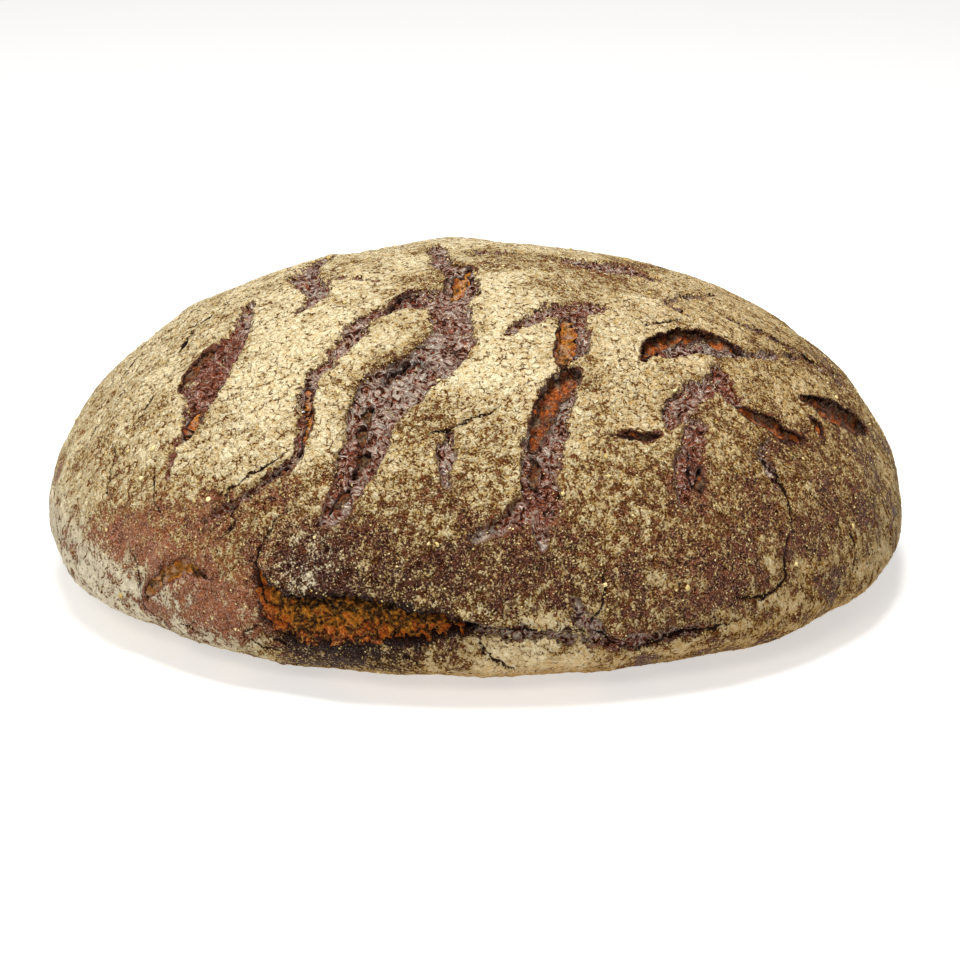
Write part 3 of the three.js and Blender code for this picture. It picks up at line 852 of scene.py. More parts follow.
@dataclass
class Relief:
    """Where the crust stands out from the smooth loaf or sinks into it, in mm.

    Places on the smooth loaf are arrays of shape (n, 3).
    """

    seed: int = 11
    grain: tuple[float, float, float] = (0.62, -0.33, 0.71)  # how the left side is drawn out
    slow_height: float = 0.35  # unevenness 14 mm apart
    lump_height: float = 0.22  # lumps 5 mm apart
    pebble_height: float = 0.14  # pebbles 2.4 mm apart
    streak_height: float = 0.5  # ridges along the grain
    fold_height: float = 0.4  # creases of the steep flanks
    flour_height: float = 0.3
    band_sink: float = 1.3  # how far bare strips lie below the plates
    band_rim: float = 0.3  # the raised edge of a plate along a strip
    band_fold: float = 1.5  # wrinkles of the strips, 6 mm apart
    band_lump: float = 0.6  # lumps of the strips, 2.8 mm apart
    crack_depth: float = 0.8
    lip_height: float = 0.6  # a rift's curled lips
    peak_height: float = 1.4  # the gape's upper lip, like the peak of a cap
    chin_sink: float = 0.8  # how far the crust below the gape falls back
    edge_depth: float = 1.4  # how far a torn edge goes below the crumb's floor
    noise: GradientNoise = field(init=False)
    strips: Courses = field(init=False)
    rifts: Courses = field(init=False)
    cracks: Courses = field(init=False)
    skin: SkinMap = field(init=False)

    def __post_init__(self) -> None:
        """Samples the strips, rifts and cracks once."""
        self.noise = GradientNoise(self.seed)
        self.strips = Courses.walk(STRIPS)
        self.rifts = Courses.walk([rift.stops for rift in RIFTS], step=0.6)
        self.cracks = Courses.walk(CRACKS, step=0.6)
        self.skin = SkinMap(SPOTS)

    @staticmethod
    def swell(points: Array) -> Array:
        """Uneven rising: named lumps, and sine waves whose directions turn by the golden angle.

        Args:
            points: positions on the smooth loaf in mm, shape (n, 3).

        Returns:
            Heights in mm, shape (n,), fading out at the heel.
        """
        golden = np.pi * (3 - np.sqrt(5))
        total = np.zeros(len(points))
        for w, (height, spacing) in enumerate(SWELLS):
            for k in range(3):
                turn = golden * (3 * w + k + 1)
                direction = np.array([np.cos(turn), np.sin(turn), np.cos(2 * turn)])
                phase = 2 * np.pi * points @ direction / spacing + turn
                total += height / 1.7 * np.sin(phase)
        for longitude, latitude, reach, height in LUMPS:
            middle = FORM.place(np.array(longitude), np.array(latitude))
            gap = np.linalg.norm(points - middle, axis=1)
            total += height * np.exp(-((gap / reach) ** 2))
        return total * ramp(points[:, 2], 0, 6)

    @staticmethod
    def _gold_and_painted_light(base: Array) -> Array:
        """How toasted the flour is: more to the right and round the foot, raw low on the left.
        Round the foot it is partly painted shade next to the table, and the raw patch over the gape
        is a painted reflection.

        Args:
            base: places on the smooth loaf in mm.

        Returns:
            Shares from -0.5 to 1.2; the flour is raw below 0.
        """
        low = ramp(-base[:, 2], -24, -5) * ramp(base[:, 0], -75, -20)
        # Toasting round the foot is partly painted shade where the loaf meets the table.
        foot = ramp(-base[:, 2], -13, -4)
        raw = ramp(-base[:, 2], -42, -16) * ramp(-base[:, 0], 45, 90)
        # A raw white patch over the gape: painted reflection of the grey sheen there.
        over_gape = np.linalg.norm(base - FORM.place(np.array(-24.0), np.array(14.0)), axis=1)
        raw = np.maximum(raw, 0.7 * np.exp(-((over_gape / 12) ** 2)))
        raw = raw * (1 - 0.7 * foot)
        toasted = 0.15 + 0.4 * ramp(base[:, 0], 0, 110) + 0.5 * low + 0.55 * foot
        return np.clip(toasted - 0.7 * raw, -0.5, 1.2)

    def rift_margin(self, base: Array) -> tuple[Array, Array]:
        """How far inside the nearest rift's ragged edge places are.

        Args:
            base: places on the smooth loaf in mm.

        Returns:
            Margins in mm, negative outside, and the nearest stations.
        """
        margin, at = self.rifts.nearest(base)
        ragged = 1.2 * self.noise(base + 90, 3.6, 2) + 0.8 * self.noise(base + 31, 1.6)
        return margin + ragged * np.clip(self.rifts.half[at] / 2, 0.45, 1.2), at

    def settle(self, base: Array, normal: Array, within: float = 0.55) -> Array:
        """Slides places close to a rift's edge onto it, so that the edge comes out crisp.

        Args:
            base: places on the smooth loaf in mm.
            normal: the loaf's normals there.
            within: how close a place has to be to be moved, in mm.

        Returns:
            The new places, still on the smooth loaf.
        """
        margin, _ = self.rift_margin(base)
        near = np.abs(margin) < within
        spot, out, value = base[near], normal[near], margin[near]
        helper = np.where(np.abs(out[:, 2:]) > 0.9, (1.0, 0.0, 0.0), (0.0, 0.0, 1.0))
        east = unit(np.cross(helper, out))
        north = np.cross(out, east)
        reach = 0.35
        slope = sum(
            ((self.rift_margin(spot + reach * way)[0] - value) / reach)[:, None] * way
            for way in (east, north)
        )
        move = -value[:, None] * slope / np.maximum((slope**2).sum(axis=1), 0.5)[:, None]
        length = np.linalg.norm(move, axis=1, keepdims=True)
        moved = base.copy()
        moved[near] = spot + move * np.minimum(1, within / np.maximum(length, 1e-6))
        return moved

    def survey(self, base: Array, normal: Array) -> Survey:
        """Works out the relief and the marks.

        Args:
            base: places on the smooth loaf in mm.
            normal: the loaf's normals there.

        Returns:
            The survey.
        """
        noise = self.noise
        flour, red, soot, streak = self._skin(base)
        strip, _ = self.strips.nearest(base)
        strip = strip + 1.9 * noise(base, 8, 2) + 1.1 * noise(base + 40, 3.2, 2)
        rift, at = self.rift_margin(base)
        crack_side, crack_half = self._crack(base)

        up = self._risen(base, normal, flour, strip, streak)
        groove = np.exp(-((crack_side / (0.6 * np.maximum(crack_half, 0.1) + 0.55)) ** 2))
        broken = np.clip(0.6 + 1.8 * noise(base + 44, 4), 0, 1)
        up -= self.crack_depth * groove * ramp(crack_half, -0.2, 0.6) * broken
        crack_half = crack_half * (0.4 + 0.6 * broken)
        up += self._lips(base, rift, at)

        # Along every rift's edge, most over the gape, soot darkens the crust: painted shade of the
        # lips.
        near = np.exp(-((np.minimum(rift, 0) / 1.6) ** 2))
        near = near * np.clip(self.rifts.half[at] / 2.5, 0.2, 1)
        near = near * np.clip(0.6 + 1.6 * noise(base + 5, 5, 2), 0, 1)
        marks = {
            Mark.FLOUR: flour,
            Mark.RED: red + 0.45 * streak * red,
            Mark.SOOT_AND_LIP_SHADE: np.clip(soot + np.where(self._over_gape(base, at), 0.9, 0.6) * near, 0, 1),
            Mark.GOLD_AND_PAINTED_LIGHT: self._gold_and_painted_light(base),
            Mark.STRIP: np.clip(strip, -8, 8),
            Mark.RIFT: np.clip(rift, -8, 8),
            Mark.CRACK_SIDE: np.clip(crack_side, -8, 8),
            Mark.CRACK_HALF: np.clip(crack_half, -1, 3),
        }
        return Survey(up, self._sink(base, normal, rift, at), marks)

    def _skin(self, base: Array) -> tuple[Array, Array, Array, Array]:
        """The skin's maps, with streaks on the left and uneven flour low down.

        Args:
            base: places on the smooth loaf in mm.

        Returns:
            Flour, red, soot and the streaks, shape (n,) each.
        """
        flour, red, soot = self.skin.at(base)
        grain = np.array(self.grain)
        drawn = base - 0.8 * (base @ grain)[:, None] * grain
        streak = self.noise(drawn, 2.6, 2) * ramp(-base[:, 0], 0, 50)
        low = ramp(-base[:, 2], -40, -26)
        low = low * (1 - 0.9 * np.clip(soot, 0, 1))
        flour = flour + 0.3 * streak + 0.5 * low * self.noise(base * (1, 1, 1.8) + 13, 7, 2)
        return np.clip(flour, 0, 1.3), red, soot, streak

    def _crack(self, base: Array) -> tuple[Array, Array]:
        """How places lie to the nearest crack.

        Args:
            base: places on the smooth loaf in mm.

        Returns:
            Signed distances from its line, and its half width there, negative past its ends.
        """
        crack, line = self.cracks.nearest(base)
        off = base - self.cracks.point[line]
        side = (off * self.cracks.side[line]).sum(axis=1)
        beyond = np.abs((off * self.cracks.along[line]).sum(axis=1))
        half = self.cracks.half[line] - np.maximum(beyond - 0.5, 0)
        return side, np.where(np.abs(crack) > 6, -1.0, half)

    def _risen(
        self, base: Array, normal: Array, flour: Array, strip: Array, streak: Array
    ) -> Array:
        """The relief of plates and strips: swells, lumps and streaks, flour and wrinkled skin.

        Args:
            base: places on the smooth loaf in mm.
            normal: the loaf's normals there.
            flour: the share of skin under flour.
            strip: mm inside the nearest strip.
            streak: ridges along the grain, from -1 to 1.

        Returns:
            Heights in mm, shape (n,).
        """
        noise = self.noise
        up = self.swell(base)
        up += (
            self.slow_height * noise(base, 14, 2)
            + self.lump_height * noise(base + 7, 5, 2)
            + self.pebble_height * noise(base + 33, 2.4)
        )
        up += self.streak_height * streak
        flank = ramp(normal[:, 2], 0.95, 0.45)
        crease = np.abs(noise(base * (1, 1, 0.45) + 3, 6.5, 2))
        up += self.fold_height * flank * (0.4 - crease * 1.6)
        bare = ramp(strip, -0.5, 0.6)
        dusted = self.flour_height * flour * (1 + noise(base + 21, 2.6, 2))
        up += (1 - bare) * dusted - self.band_sink * bare
        up += self.band_rim * np.exp(-(((strip + 1.2) / 1.0) ** 2))
        up += self.band_fold * bare * (0.35 - np.abs(noise(base + 60, 6, 2)) * 2.2)
        up += self.band_lump * bare * noise(base + 71, 2.8)
        return up

    def _over_gape(self, base: Array, at: Array) -> Array:
        """Which places lie on the upper side of the gape.

        Args:
            base: places on the smooth loaf in mm.
            at: the nearest rift stations.

        Returns:
            True for those places, shape (n,).
        """
        toward = ((base - self.rifts.point[at]) * self.rifts.side[at]).sum(axis=1)
        return (self.rifts.owner[at] == GAPE) & (toward < 0)

    def _lips(self, base: Array, rift: Array, at: Array) -> Array:
        """Lips: they curl up at every rift, peak over the gape and fall back below it.

        Args:
            base: places on the smooth loaf in mm.
            rift: mm inside the nearest rift.
            at: the nearest rift stations.

        Returns:
            Heights in mm, shape (n,).
        """
        curl = np.clip(0.3 + 0.8 * self.noise(base + 17, 4, 2), 0, 1)
        curl = curl * np.clip(self.rifts.half[at] / 3, 0.3, 1.4)
        up = self.lip_height * curl * np.exp(-(((rift + 0.9) / 1.2) ** 2))
        over = self._over_gape(base, at)
        peak = self.peak_height * np.exp(-(((rift + 1.6) / 2.6) ** 2))
        chin = self.chin_sink * np.exp(-(((rift + 3) / 4) ** 2))
        up += np.where(over, peak, 0)
        up -= np.where((self.rifts.owner[at] == GAPE) & ~over, chin, 0)
        return up

    def _sink(self, base: Array, normal: Array, rift: Array, at: Array) -> Array:
        """Past its edge the crust turns down, and back under its own lip.

        Args:
            base: places on the smooth loaf in mm.
            normal: the loaf's normals there.
            rift: mm inside the nearest rift.
            at: the nearest rift stations.

        Returns:
            Moves in mm, shape (n, 3).
        """
        half = self.rifts.half[at]
        floors = np.array([torn.floor for torn in RIFTS])[self.rifts.owner[at]]
        leans = np.array([torn.lean for torn in RIFTS])[self.rifts.owner[at]]
        plunge = ramp(rift, -0.05, 0.6) * (floors * taper_of(half) + self.edge_depth)
        way = self.rifts.normal[at] + self.rifts.side[at] * leans[:, None]
        off = base - self.rifts.point[at]
        outward = unit(off - (off * normal).sum(axis=1, keepdims=True) * normal)
        under = (rift + 0.7) * ramp(rift, 0, 0.45) * (1 - ramp(rift, 1, 3)) * taper_of(half)
        return outward * under[:, None] - way * plunge[:, None]


@dataclass
class CrustMesh:
    """The crust's vertices, faces and marks."""

    points: Array
    quads: Array
    triangles: Array
    marks: dict[Mark, Array]
    chart: Array  # each vertex's place on the flat map of the dome, 0 to 1
    heel_chart: Array


@dataclass
class Crust:
    """The skin of the whole loaf: one closed surface, torn and wrinkled."""

    relief: Relief
    rings: int = 88  # square rings over the crown
    rows: int = 92  # rows from the crown's block down to the heel
    front_bias: float = 0.42  # how much closer the points stand at the front
    mesh: CrustMesh = field(init=False)

    def __post_init__(self) -> None:
        """Lays out the mesh, then moves its vertices by the relief."""
        latitude, longitude, quads, triangles, charts = self._layout()
        self.mesh = self._shaped(longitude, latitude, quads, triangles, charts)

    def _layout(self) -> tuple[Array, Array, Array, Array, tuple[Array, Array]]:
        """Squares over the crown, rows down the sides and halving rings across the heel.

        Over the crown the grid's square rings become round ones, so that no point is a pole. The
        last square ring has eight vertices per ring number, and every row below keeps that count.

        Returns:
            Latitudes, longitudes, quads, triangles and the two flat maps.
        """
        n = self.rings
        arcs, latitudes = FORM.arc_table()
        step = arcs[-1] / (n + self.rows)
        i, j = np.meshgrid(np.arange(-n, n + 1), np.arange(-n, n + 1), indexing="ij")
        ring = np.maximum(np.abs(i), np.abs(j))
        flat = np.abs(i) >= np.abs(j)
        safe_i, safe_j = np.where(i == 0, 1, i), np.where(j == 0, 1, j)
        turn = np.where(
            flat,
            np.pi / 4 * j / safe_i + np.where(i > 0, 0, np.pi),
            np.pi / 2 - np.pi / 4 * i / safe_j + np.where(j > 0, 0, np.pi),
        )
        number = np.arange((2 * n + 1) ** 2).reshape(2 * n + 1, -1)
        quads = [self.grid(number)]
        edge = number[ring == n]
        edge = edge[np.argsort(np.mod(turn[ring == n], 2 * np.pi))]
        count = 8 * n
        start = number.size
        lower = start + np.arange(self.rows * count).reshape(self.rows, count)
        table = np.vstack([edge, lower])
        closed = np.hstack([table, table[:, :1]])
        quads.append(self.grid(closed))
        edge_turn = np.mod(turn.ravel()[edge], 2 * np.pi)
        row_arc = step * (n + 1 + np.arange(self.rows))
        arc = np.concatenate([(step * ring).ravel(), np.repeat(row_arc, count)])
        turns = np.concatenate([turn.ravel(), np.tile(edge_turn, self.rows)])
        latitude = np.interp(arc, arcs, latitudes)
        heel_lat, heel_turn, triangles = self._heel(lower[-1], edge_turn)
        arc = np.concatenate([arc, np.full(len(heel_lat), arcs[-1])])
        latitude = np.concatenate([latitude, heel_lat])
        turns = np.concatenate([turns, heel_turn])
        signed = np.mod(turns + np.pi, 2 * np.pi) - np.pi
        longitude = np.degrees(signed - self.front_bias * np.sin(signed))
        spoke = np.stack([np.sin(turns), -np.cos(turns)], axis=1)
        chart = 0.47 + 0.465 * (arc / arcs[-1])[:, None] * spoke
        heel_reach = np.clip((90 + latitude) / (90 + FORM.heel_latitude), 0, 1)
        heel_chart = 0.905 + 0.09 * heel_reach[:, None] * spoke * (1, -1)
        return latitude, longitude, np.concatenate(quads), triangles, (chart, heel_chart)

    @staticmethod
    def grid(number: Array) -> Array:
        """Quads between the rows and columns of a table of vertex numbers.

        Args:
            number: vertex numbers, shape (rows, columns).

        Returns:
            Quads, shape (m, 4).
        """
        corners = number[:-1, :-1], number[1:, :-1], number[1:, 1:], number[:-1, 1:]
        return np.stack([c.ravel() for c in corners], axis=1)

    def _heel(self, rim: Array, turn: Array) -> tuple[Array, Array, Array]:
        """Rings across the heel, each with half the vertices of the one outside it.

        Args:
            rim: the vertex numbers of the heel's edge.
            turn: their directions in radians.

        Returns:
            Latitudes, directions and triangles of the heel's own vertices.
        """
        latitude, turns, triangles = [], [], []
        outer, outer_turn, following = rim, turn, rim[-1] + 1
        for level in (-50, -57, -66, -77):
            inner_turn = outer_turn[::2]
            inner = following + np.arange(len(inner_turn))
            following += len(inner)
            a, b, c = outer[::2], outer[1::2], np.roll(outer, -2)[::2]
            d, e = inner, np.roll(inner, -1)
            triangles += [np.stack(t, axis=1) for t in ((a, d, b), (b, d, e), (b, e, c))]
            latitude.append(np.full(len(inner), level))
            turns.append(inner_turn)
            outer, outer_turn = inner, inner_turn
        hub = np.full(len(outer), following)
        triangles.append(np.stack([outer, hub, np.roll(outer, -1)], axis=1))
        latitude.append(np.array([-90.0]))
        turns.append(np.array([0.0]))
        return np.concatenate(latitude), np.concatenate(turns), np.concatenate(triangles)

    def _shaped(
        self,
        longitude: Array,
        latitude: Array,
        quads: Array,
        triangles: Array,
        charts: tuple[Array, Array],
    ) -> CrustMesh:
        """Moves the vertices out and in by the relief and works out their marks.

        Args:
            longitude: degrees, one per vertex.
            latitude: degrees, one per vertex.
            quads: the four-sided faces.
            triangles: the three-sided faces.
            charts: the two flat maps.

        Returns:
            The finished mesh.
        """
        base = FORM.place(longitude, latitude)
        upper = latitude > FORM.heel_latitude + 4
        moved = self.relief.settle(base[upper], FORM.normal(longitude, latitude)[upper])
        longitude, latitude = longitude.copy(), latitude.copy()
        longitude[upper], latitude[upper] = FORM.globe(moved)
        base, normal = FORM.place(longitude, latitude), FORM.normal(longitude, latitude)
        found = self.relief.survey(base, normal)
        live = ramp(base[:, 2], 0.0, 4.0)[:, None]
        points = base + (normal * found.up[:, None] + found.sink) * live
        points[:, 2] = np.maximum(points[:, 2], 0)
        return CrustMesh(points, quads, triangles, found.marks, *charts)

    def build(self, material: bpy.types.Material) -> bpy.types.Object:
        """Makes the crust's object.

        Args:
            material: the crust's finish.

        Returns:
            The new object, in metres.
        """
        mesh = self.mesh
        faces = [*mesh.quads.tolist(), *mesh.triangles.tolist()]
        marks = {mark.value: values for mark, values in mesh.marks.items()}
        piece = new_object(Name.CRUST, mesh.points, faces, material, marks)
        corners = np.empty(len(piece.data.loops), int)
        piece.data.loops.foreach_get("vertex_index", corners)
        chart = mesh.chart[corners]
        heel = len(mesh.quads) * 4
        chart[heel:] = mesh.heel_chart[corners[heel:]]
        chart_layer = piece.data.uv_layers.new(name="OFBake")
        chart_layer.uv.foreach_set("vector", chart.astype(np.float32).ravel())
        return piece


def new_object(
    name: Name,
    points: Array,
    faces: list[list[int]],
    material: bpy.types.Material,
    measures: dict[str, Array] | None = None,
) -> bpy.types.Object:
    """Makes a smooth-shaded mesh object at the origin and links it to the scene.

    Args:
        name: the object's name.
        points: vertices in mm, shape (n, 3).
        faces: vertex numbers of each face, counter-clockwise seen from outside.
        material: the finish.
        measures: what the finish reads at every vertex, by name.

    Returns:
        The new object, in metres.
    """
    data = bpy.data.meshes.new(name.value)
    data.from_pydata((points * MM).tolist(), [], faces)
    data.polygons.foreach_set("use_smooth", np.ones(len(data.polygons), bool))
    data.materials.append(material)
    data.update()
    for label, values in (measures or {}).items():
        layer = data.attributes.new(label, "FLOAT", "POINT")
        layer.data.foreach_set("value", values.astype(np.float32))
    piece = bpy.data.objects.new(name.value, data)
    bpy.context.scene.collection.objects.link(piece)
    return piece


@dataclass
class CrumbBody:
    """One rift's crumb."""

    points: Array
    faces: Array
    toast: Array  # how browned each point is; low values under the gape's upper lip are painted shade
    pit: Array  # how far into a pit it lies, in mm


@dataclass
class TornCrumb:
    """Open crumb in the rifts: a rough body laid along each one, its edges under the crust.

    Across a rift, v runs from -1 at its left or upper edge to 1 at its right or lower one.
    """

    relief: Relief
    step: float = 0.4  # distance between the mesh's points in mm
    overlap: float = 1.1  # how far its edges reach under the crust in mm
    thickness: float = 3.4  # how far the body goes on below its floor in mm
    least_depth: float = 0.55  # in mm
    end_dip: float = 2.2  # how much deeper it lies at its pointed ends in mm
    # v and share of the depth: the gape's floor rises from deep under the upper lip
    gape_floor: Profile = ((-1, 1.0), (-0.4, 0.9), (0.1, 0.5), (0.6, 0.22), (0.85, 0.1), (1, 0.25))
    # v and browning: the gape's lower lip is toasted most, and the lowest values paint its upper
    # side dark olive as painted shade under the lip
    gape_toast_and_shade: Profile = ((-1, -1.2), (-0.2, -0.6), (0.5, 0.15), (1, 0.85))

    def build(self, material: bpy.types.Material) -> bpy.types.Object:
        """Makes one object of all the crumb bodies.

        Args:
            material: the crumb's finish.

        Returns:
            The new object, in metres.
        """
        bodies = [self._body(owner, rift) for owner, rift in enumerate(RIFTS)]
        sizes = [len(body.points) for body in bodies]
        starts = np.cumsum([0, *sizes[:-1]])
        faces = np.concatenate([body.faces + start for body, start in zip(bodies, starts)])
        points = np.concatenate([body.points for body in bodies])
        measures = {
            "toast": np.concatenate([body.toast for body in bodies]),
            "pit": np.concatenate([body.pit for body in bodies]),
            "film": np.repeat(np.arange(len(RIFTS)) != GAPE, sizes),
        }
        return new_object(Name.CRUMB, points, faces.tolist(), material, measures)

    def _body(self, owner: int, rift: Rift) -> CrumbBody:
        """One rift's crumb: a closed section carried along the rift, fine above and plain below.

        The section's upper side runs from one buried edge to the other through the rift's floor.

        Args:
            owner: the rift's number.
            rift: the rift.

        Returns:
            The body, its triangles facing out.
        """
        course = Courses.walk([rift.stops], step=self.step)
        gape = owner == GAPE
        half = course.half * 1.1 + self.overlap
        across = max(9, int(2.4 * half.max() * (1 + 0.3 * gape) / self.step) | 1)
        v = np.linspace(-1, 1, across)
        upper, rough = self._upper_side(course, rift, half, v, gape)
        ring = np.concatenate([upper, self._under_side(course, rift, half)], axis=1)
        rows, around = ring.shape[:2]
        number = np.arange(rows * around).reshape(rows, around)
        quads = Crust.grid(np.hstack([number, number[:, :1]]))
        fans = [
            np.stack([np.full(around - 2, end[0]), end[1:-1], end[2:]], axis=1)[:, order]
            for end, order in ((number[0], [0, 1, 2]), (number[-1], [0, 2, 1]))
        ]
        faces = np.concatenate([quads[:, [0, 1, 2]], quads[:, [0, 2, 3]], *fans])
        points = ring.reshape(-1, 3)
        faces = faces if self._volume(points, faces) > 0 else faces[:, ::-1]
        pit = np.pad((0.1 - rough).reshape(rows, across), ((0, 0), (0, 2))).ravel()
        # A plain rift is browned at both edges, and the hidden under side takes plain values. The
        # gape's upper side takes values low enough to paint the shade under its lip.
        browned = np.interp(v, *zip(*self.gape_toast_and_shade)) if gape else 1.2 * v**2
        tone = rift.toast + np.tile(np.append(browned, [1, -1]), rows)
        tone = tone + 0.7 * self.relief.noise(points + 12, 3.6, 3)
        return CrumbBody(points, faces, np.clip(tone, -0.5, 1.5), pit)

    def _upper_side(
        self, course: Courses, rift: Rift, half: Array, v: Array, gape: bool
    ) -> tuple[Array, Array]:
        """The side that shows: the floor, roughened except at its buried edges.

        Args:
            course: the rift's stations.
            rift: the rift.
            half: the body's half width at each station in mm.
            v: places across the rift.
            gape: whether this is the big tear.

        Returns:
            Points, shape (stations, len(v), 3), and the roughness of each in mm.
        """
        deep = rift.floor * taper_of(course.half)
        sunk = np.interp(v, *zip(*self.gape_floor)) if gape else 0.2 + 0.8 * (1 - v**2)
        depth = np.maximum(sunk[None, :] * deep[:, None], self.least_depth)
        depth += self.end_dip * (1 - ramp(course.half, 0.6, 1.1))[:, None]
        reach = v[None, :] * half[:, None]
        line = course.point[:, None] + course.side[:, None] * reach[..., None]
        globe = FORM.globe(line.reshape(-1, 3))
        crust = self.relief.survey(FORM.place(*globe), FORM.normal(*globe))
        level = crust.up.reshape(depth.shape)
        shift = reach - rift.lean * np.maximum(depth - 1, 0)
        top = (
            course.point[:, None]
            + course.side[:, None] * shift[..., None]
            + course.normal[:, None] * (level - depth)[..., None]
        ).reshape(-1, 3)
        rough = self._roughness(top, gape)
        edge = np.tile(np.clip((1 - np.abs(v)) * 4, 0.15, 1), len(half))
        lift = edge * rough * np.repeat(np.clip(course.half / 2.5, 0.4, 1), len(v))
        top = top + np.repeat(course.normal, len(v), axis=0) * lift[:, None]
        top -= np.repeat(course.side, len(v), axis=0) * (0.4 * lift * gape)[:, None]
        return top.reshape(len(half), len(v), 3), rough

    def _under_side(self, course: Courses, rift: Rift, half: Array) -> Array:
        """Two hidden lines below the floor that close the section.

        Args:
            course: the rift's stations.
            rift: the rift.
            half: the body's half width at each station in mm.

        Returns:
            Points, shape (stations, 2, 3).
        """
        deep = rift.floor * taper_of(course.half)
        return (
            course.point[:, None]
            + course.side[:, None] * (np.array([0.6, -0.6])[None, :] * half[:, None])[..., None]
            - course.normal[:, None] * (deep + self.thickness)[:, None, None]
            - course.side[:, None] * (rift.lean * deep)[:, None, None]
        )

    def _roughness(self, points: Array, gape: bool) -> Array:
        """Rises and dips of torn crumb: soft puffs between sharp creases, and fine grit.

        Args:
            points: positions in mm, shape (n, 3).
            gape: whether this is the big tear, whose crumb is fluffier.

        Returns:
            Heights in mm.
        """
        noise = self.relief.noise
        puffs = np.abs(noise(points + 50, 3.5, 2)) * 2.2 - 0.6
        fine = np.abs(noise(points + 80, 1.3, 2)) * 2.0 - 0.5
        size = (1.25, 0.9) if gape else (0.6, 0.5)
        return size[0] * puffs + size[1] * fine

    @staticmethod
    def _volume(points: Array, faces: Array) -> float:
        """Signed volume of a closed body, positive if its faces point out.

        Args:
            points: vertices.
            faces: triangles.

        Returns:
            The volume.
        """
        a, b, c = (points[faces[:, k]] for k in range(3))
        return float((a * np.cross(b, c)).sum() / 6)


@dataclass
class FlourLumps:
    """Loose lumps of flour and dough crumbs stuck on the crust, joined in one mesh."""

    crust: Crust
    name: Name
    count: int
    smallest: float  # radius in mm
    largest: float  # radius in mm
    level: int  # how often each face of the ball is cut in four
    seed: int
    # least and most stretch along, across and up, as shares of the radius
    squash: tuple[tuple[float, ...], ...] = ((0.8, 0.6, 0.45), (1.2, 1.0, 0.7))
    bumpiness: float = 0.22
    raised: float = 0.3  # how far a lump's middle stands out, as a share of the radius

    def build(self, material: bpy.types.Material) -> bpy.types.Object:
        """Scatters the lumps where flour is neither missing nor solid.

        Args:
            material: the lumps' finish.

        Returns:
            The new object, in metres.
        """
        rng = np.random.default_rng(self.seed)
        mesh = self.crust.mesh
        corners = mesh.points[mesh.quads]
        cross = np.cross(corners[:, 2] - corners[:, 0], corners[:, 3] - corners[:, 1])
        share = self._wanted(corners, np.linalg.norm(cross, axis=1))
        chosen = rng.choice(len(share), self.count, p=share / share.sum())
        mix = rng.dirichlet((1, 1, 1, 1), self.count)
        middle = (corners[chosen] * mix[..., None]).sum(axis=1)
        normal = unit(cross[chosen])
        radius = self.smallest + (self.largest - self.smallest) * rng.random(self.count) ** 2.5
        ball, faces = self._ball()
        turn = unit(rng.normal(size=(self.count, 3)))
        side = unit(np.cross(normal, turn))
        other = np.cross(normal, side)
        stretch = radius[:, None] * rng.uniform(*self.squash, (self.count, 3))
        bumps = rng.normal(size=(self.count, len(ball), 1)).clip(-1.5, 1.5)
        bumps = 1 + self.bumpiness * bumps
        local = ball[None] * bumps * stretch[:, None]
        frame = np.stack([side, other, normal], axis=1)
        out = self.raised * (radius[:, None] * normal)
        points = middle[:, None] + local @ frame + out[:, None]
        offset = np.arange(self.count)[:, None, None] * len(ball)
        every = (faces[None] + offset).reshape(-1, 3)
        tint = {"tint": np.repeat(rng.random(self.count), len(ball))}
        return new_object(self.name, points.reshape(-1, 3), every.tolist(), material, tint)

    def _wanted(self, corners: Array, area: Array) -> Array:
        """How many lumps the crust's faces should get: most by thin flour and along the strips.

        Args:
            corners: each face's corners in mm, shape (n, 4, 3).
            area: twice each face's area in square mm.

        Returns:
            Shares that don't add up to 1, shape (n,); none in rifts or close to the table.
        """
        mesh = self.crust.mesh
        flour, strip, rift = (
            mesh.marks[m][mesh.quads].mean(axis=1) for m in (Mark.FLOUR, Mark.STRIP, Mark.RIFT)
        )
        height = corners[..., 2].mean(axis=1)
        want = 0.04 + 3 * flour * np.maximum(0.95 - flour, 0.02)
        want *= 1 - 0.6 * ramp(strip, -1, 0.5)
        want += 1.5 * np.exp(-(((strip + 0.2) / 1.2) ** 2)) * flour
        return area * np.where((rift > -0.6) | (height < 4) | (area > 6), 0, want)

    def _ball(self) -> tuple[Array, Array]:
        """A rough ball: an octahedron (level 0) or the same with each face cut in four.

        Returns:
            Points at distance 1 and triangles facing out.
        """
        around = np.array([(1, 0, 0), (0, 1, 0), (-1, 0, 0), (0, -1, 0)], float)
        top, foot = np.array([(0, 0, 1), (0, 0, -1)], float)
        sides = list(zip(around, np.roll(around, -1, axis=0)))
        corners = [(a, b, top) for a, b in sides] + [(b, a, foot) for a, b in sides]
        for _ in range(self.level):
            finer = []
            for a, b, c in corners:
                ab, bc, ca = (a + b) / 2, (b + c) / 2, (c + a) / 2
                finer += [(a, ab, ca), (ab, b, bc), (ca, bc, c), (ab, bc, ca)]
            corners = finer
        soup = unit(np.array(corners).reshape(-1, 3))
        points, inverse = np.unique(soup.round(6), axis=0, return_inverse=True)
        return unit(points), inverse.reshape(-1, 3)


# ---- Finishes ----


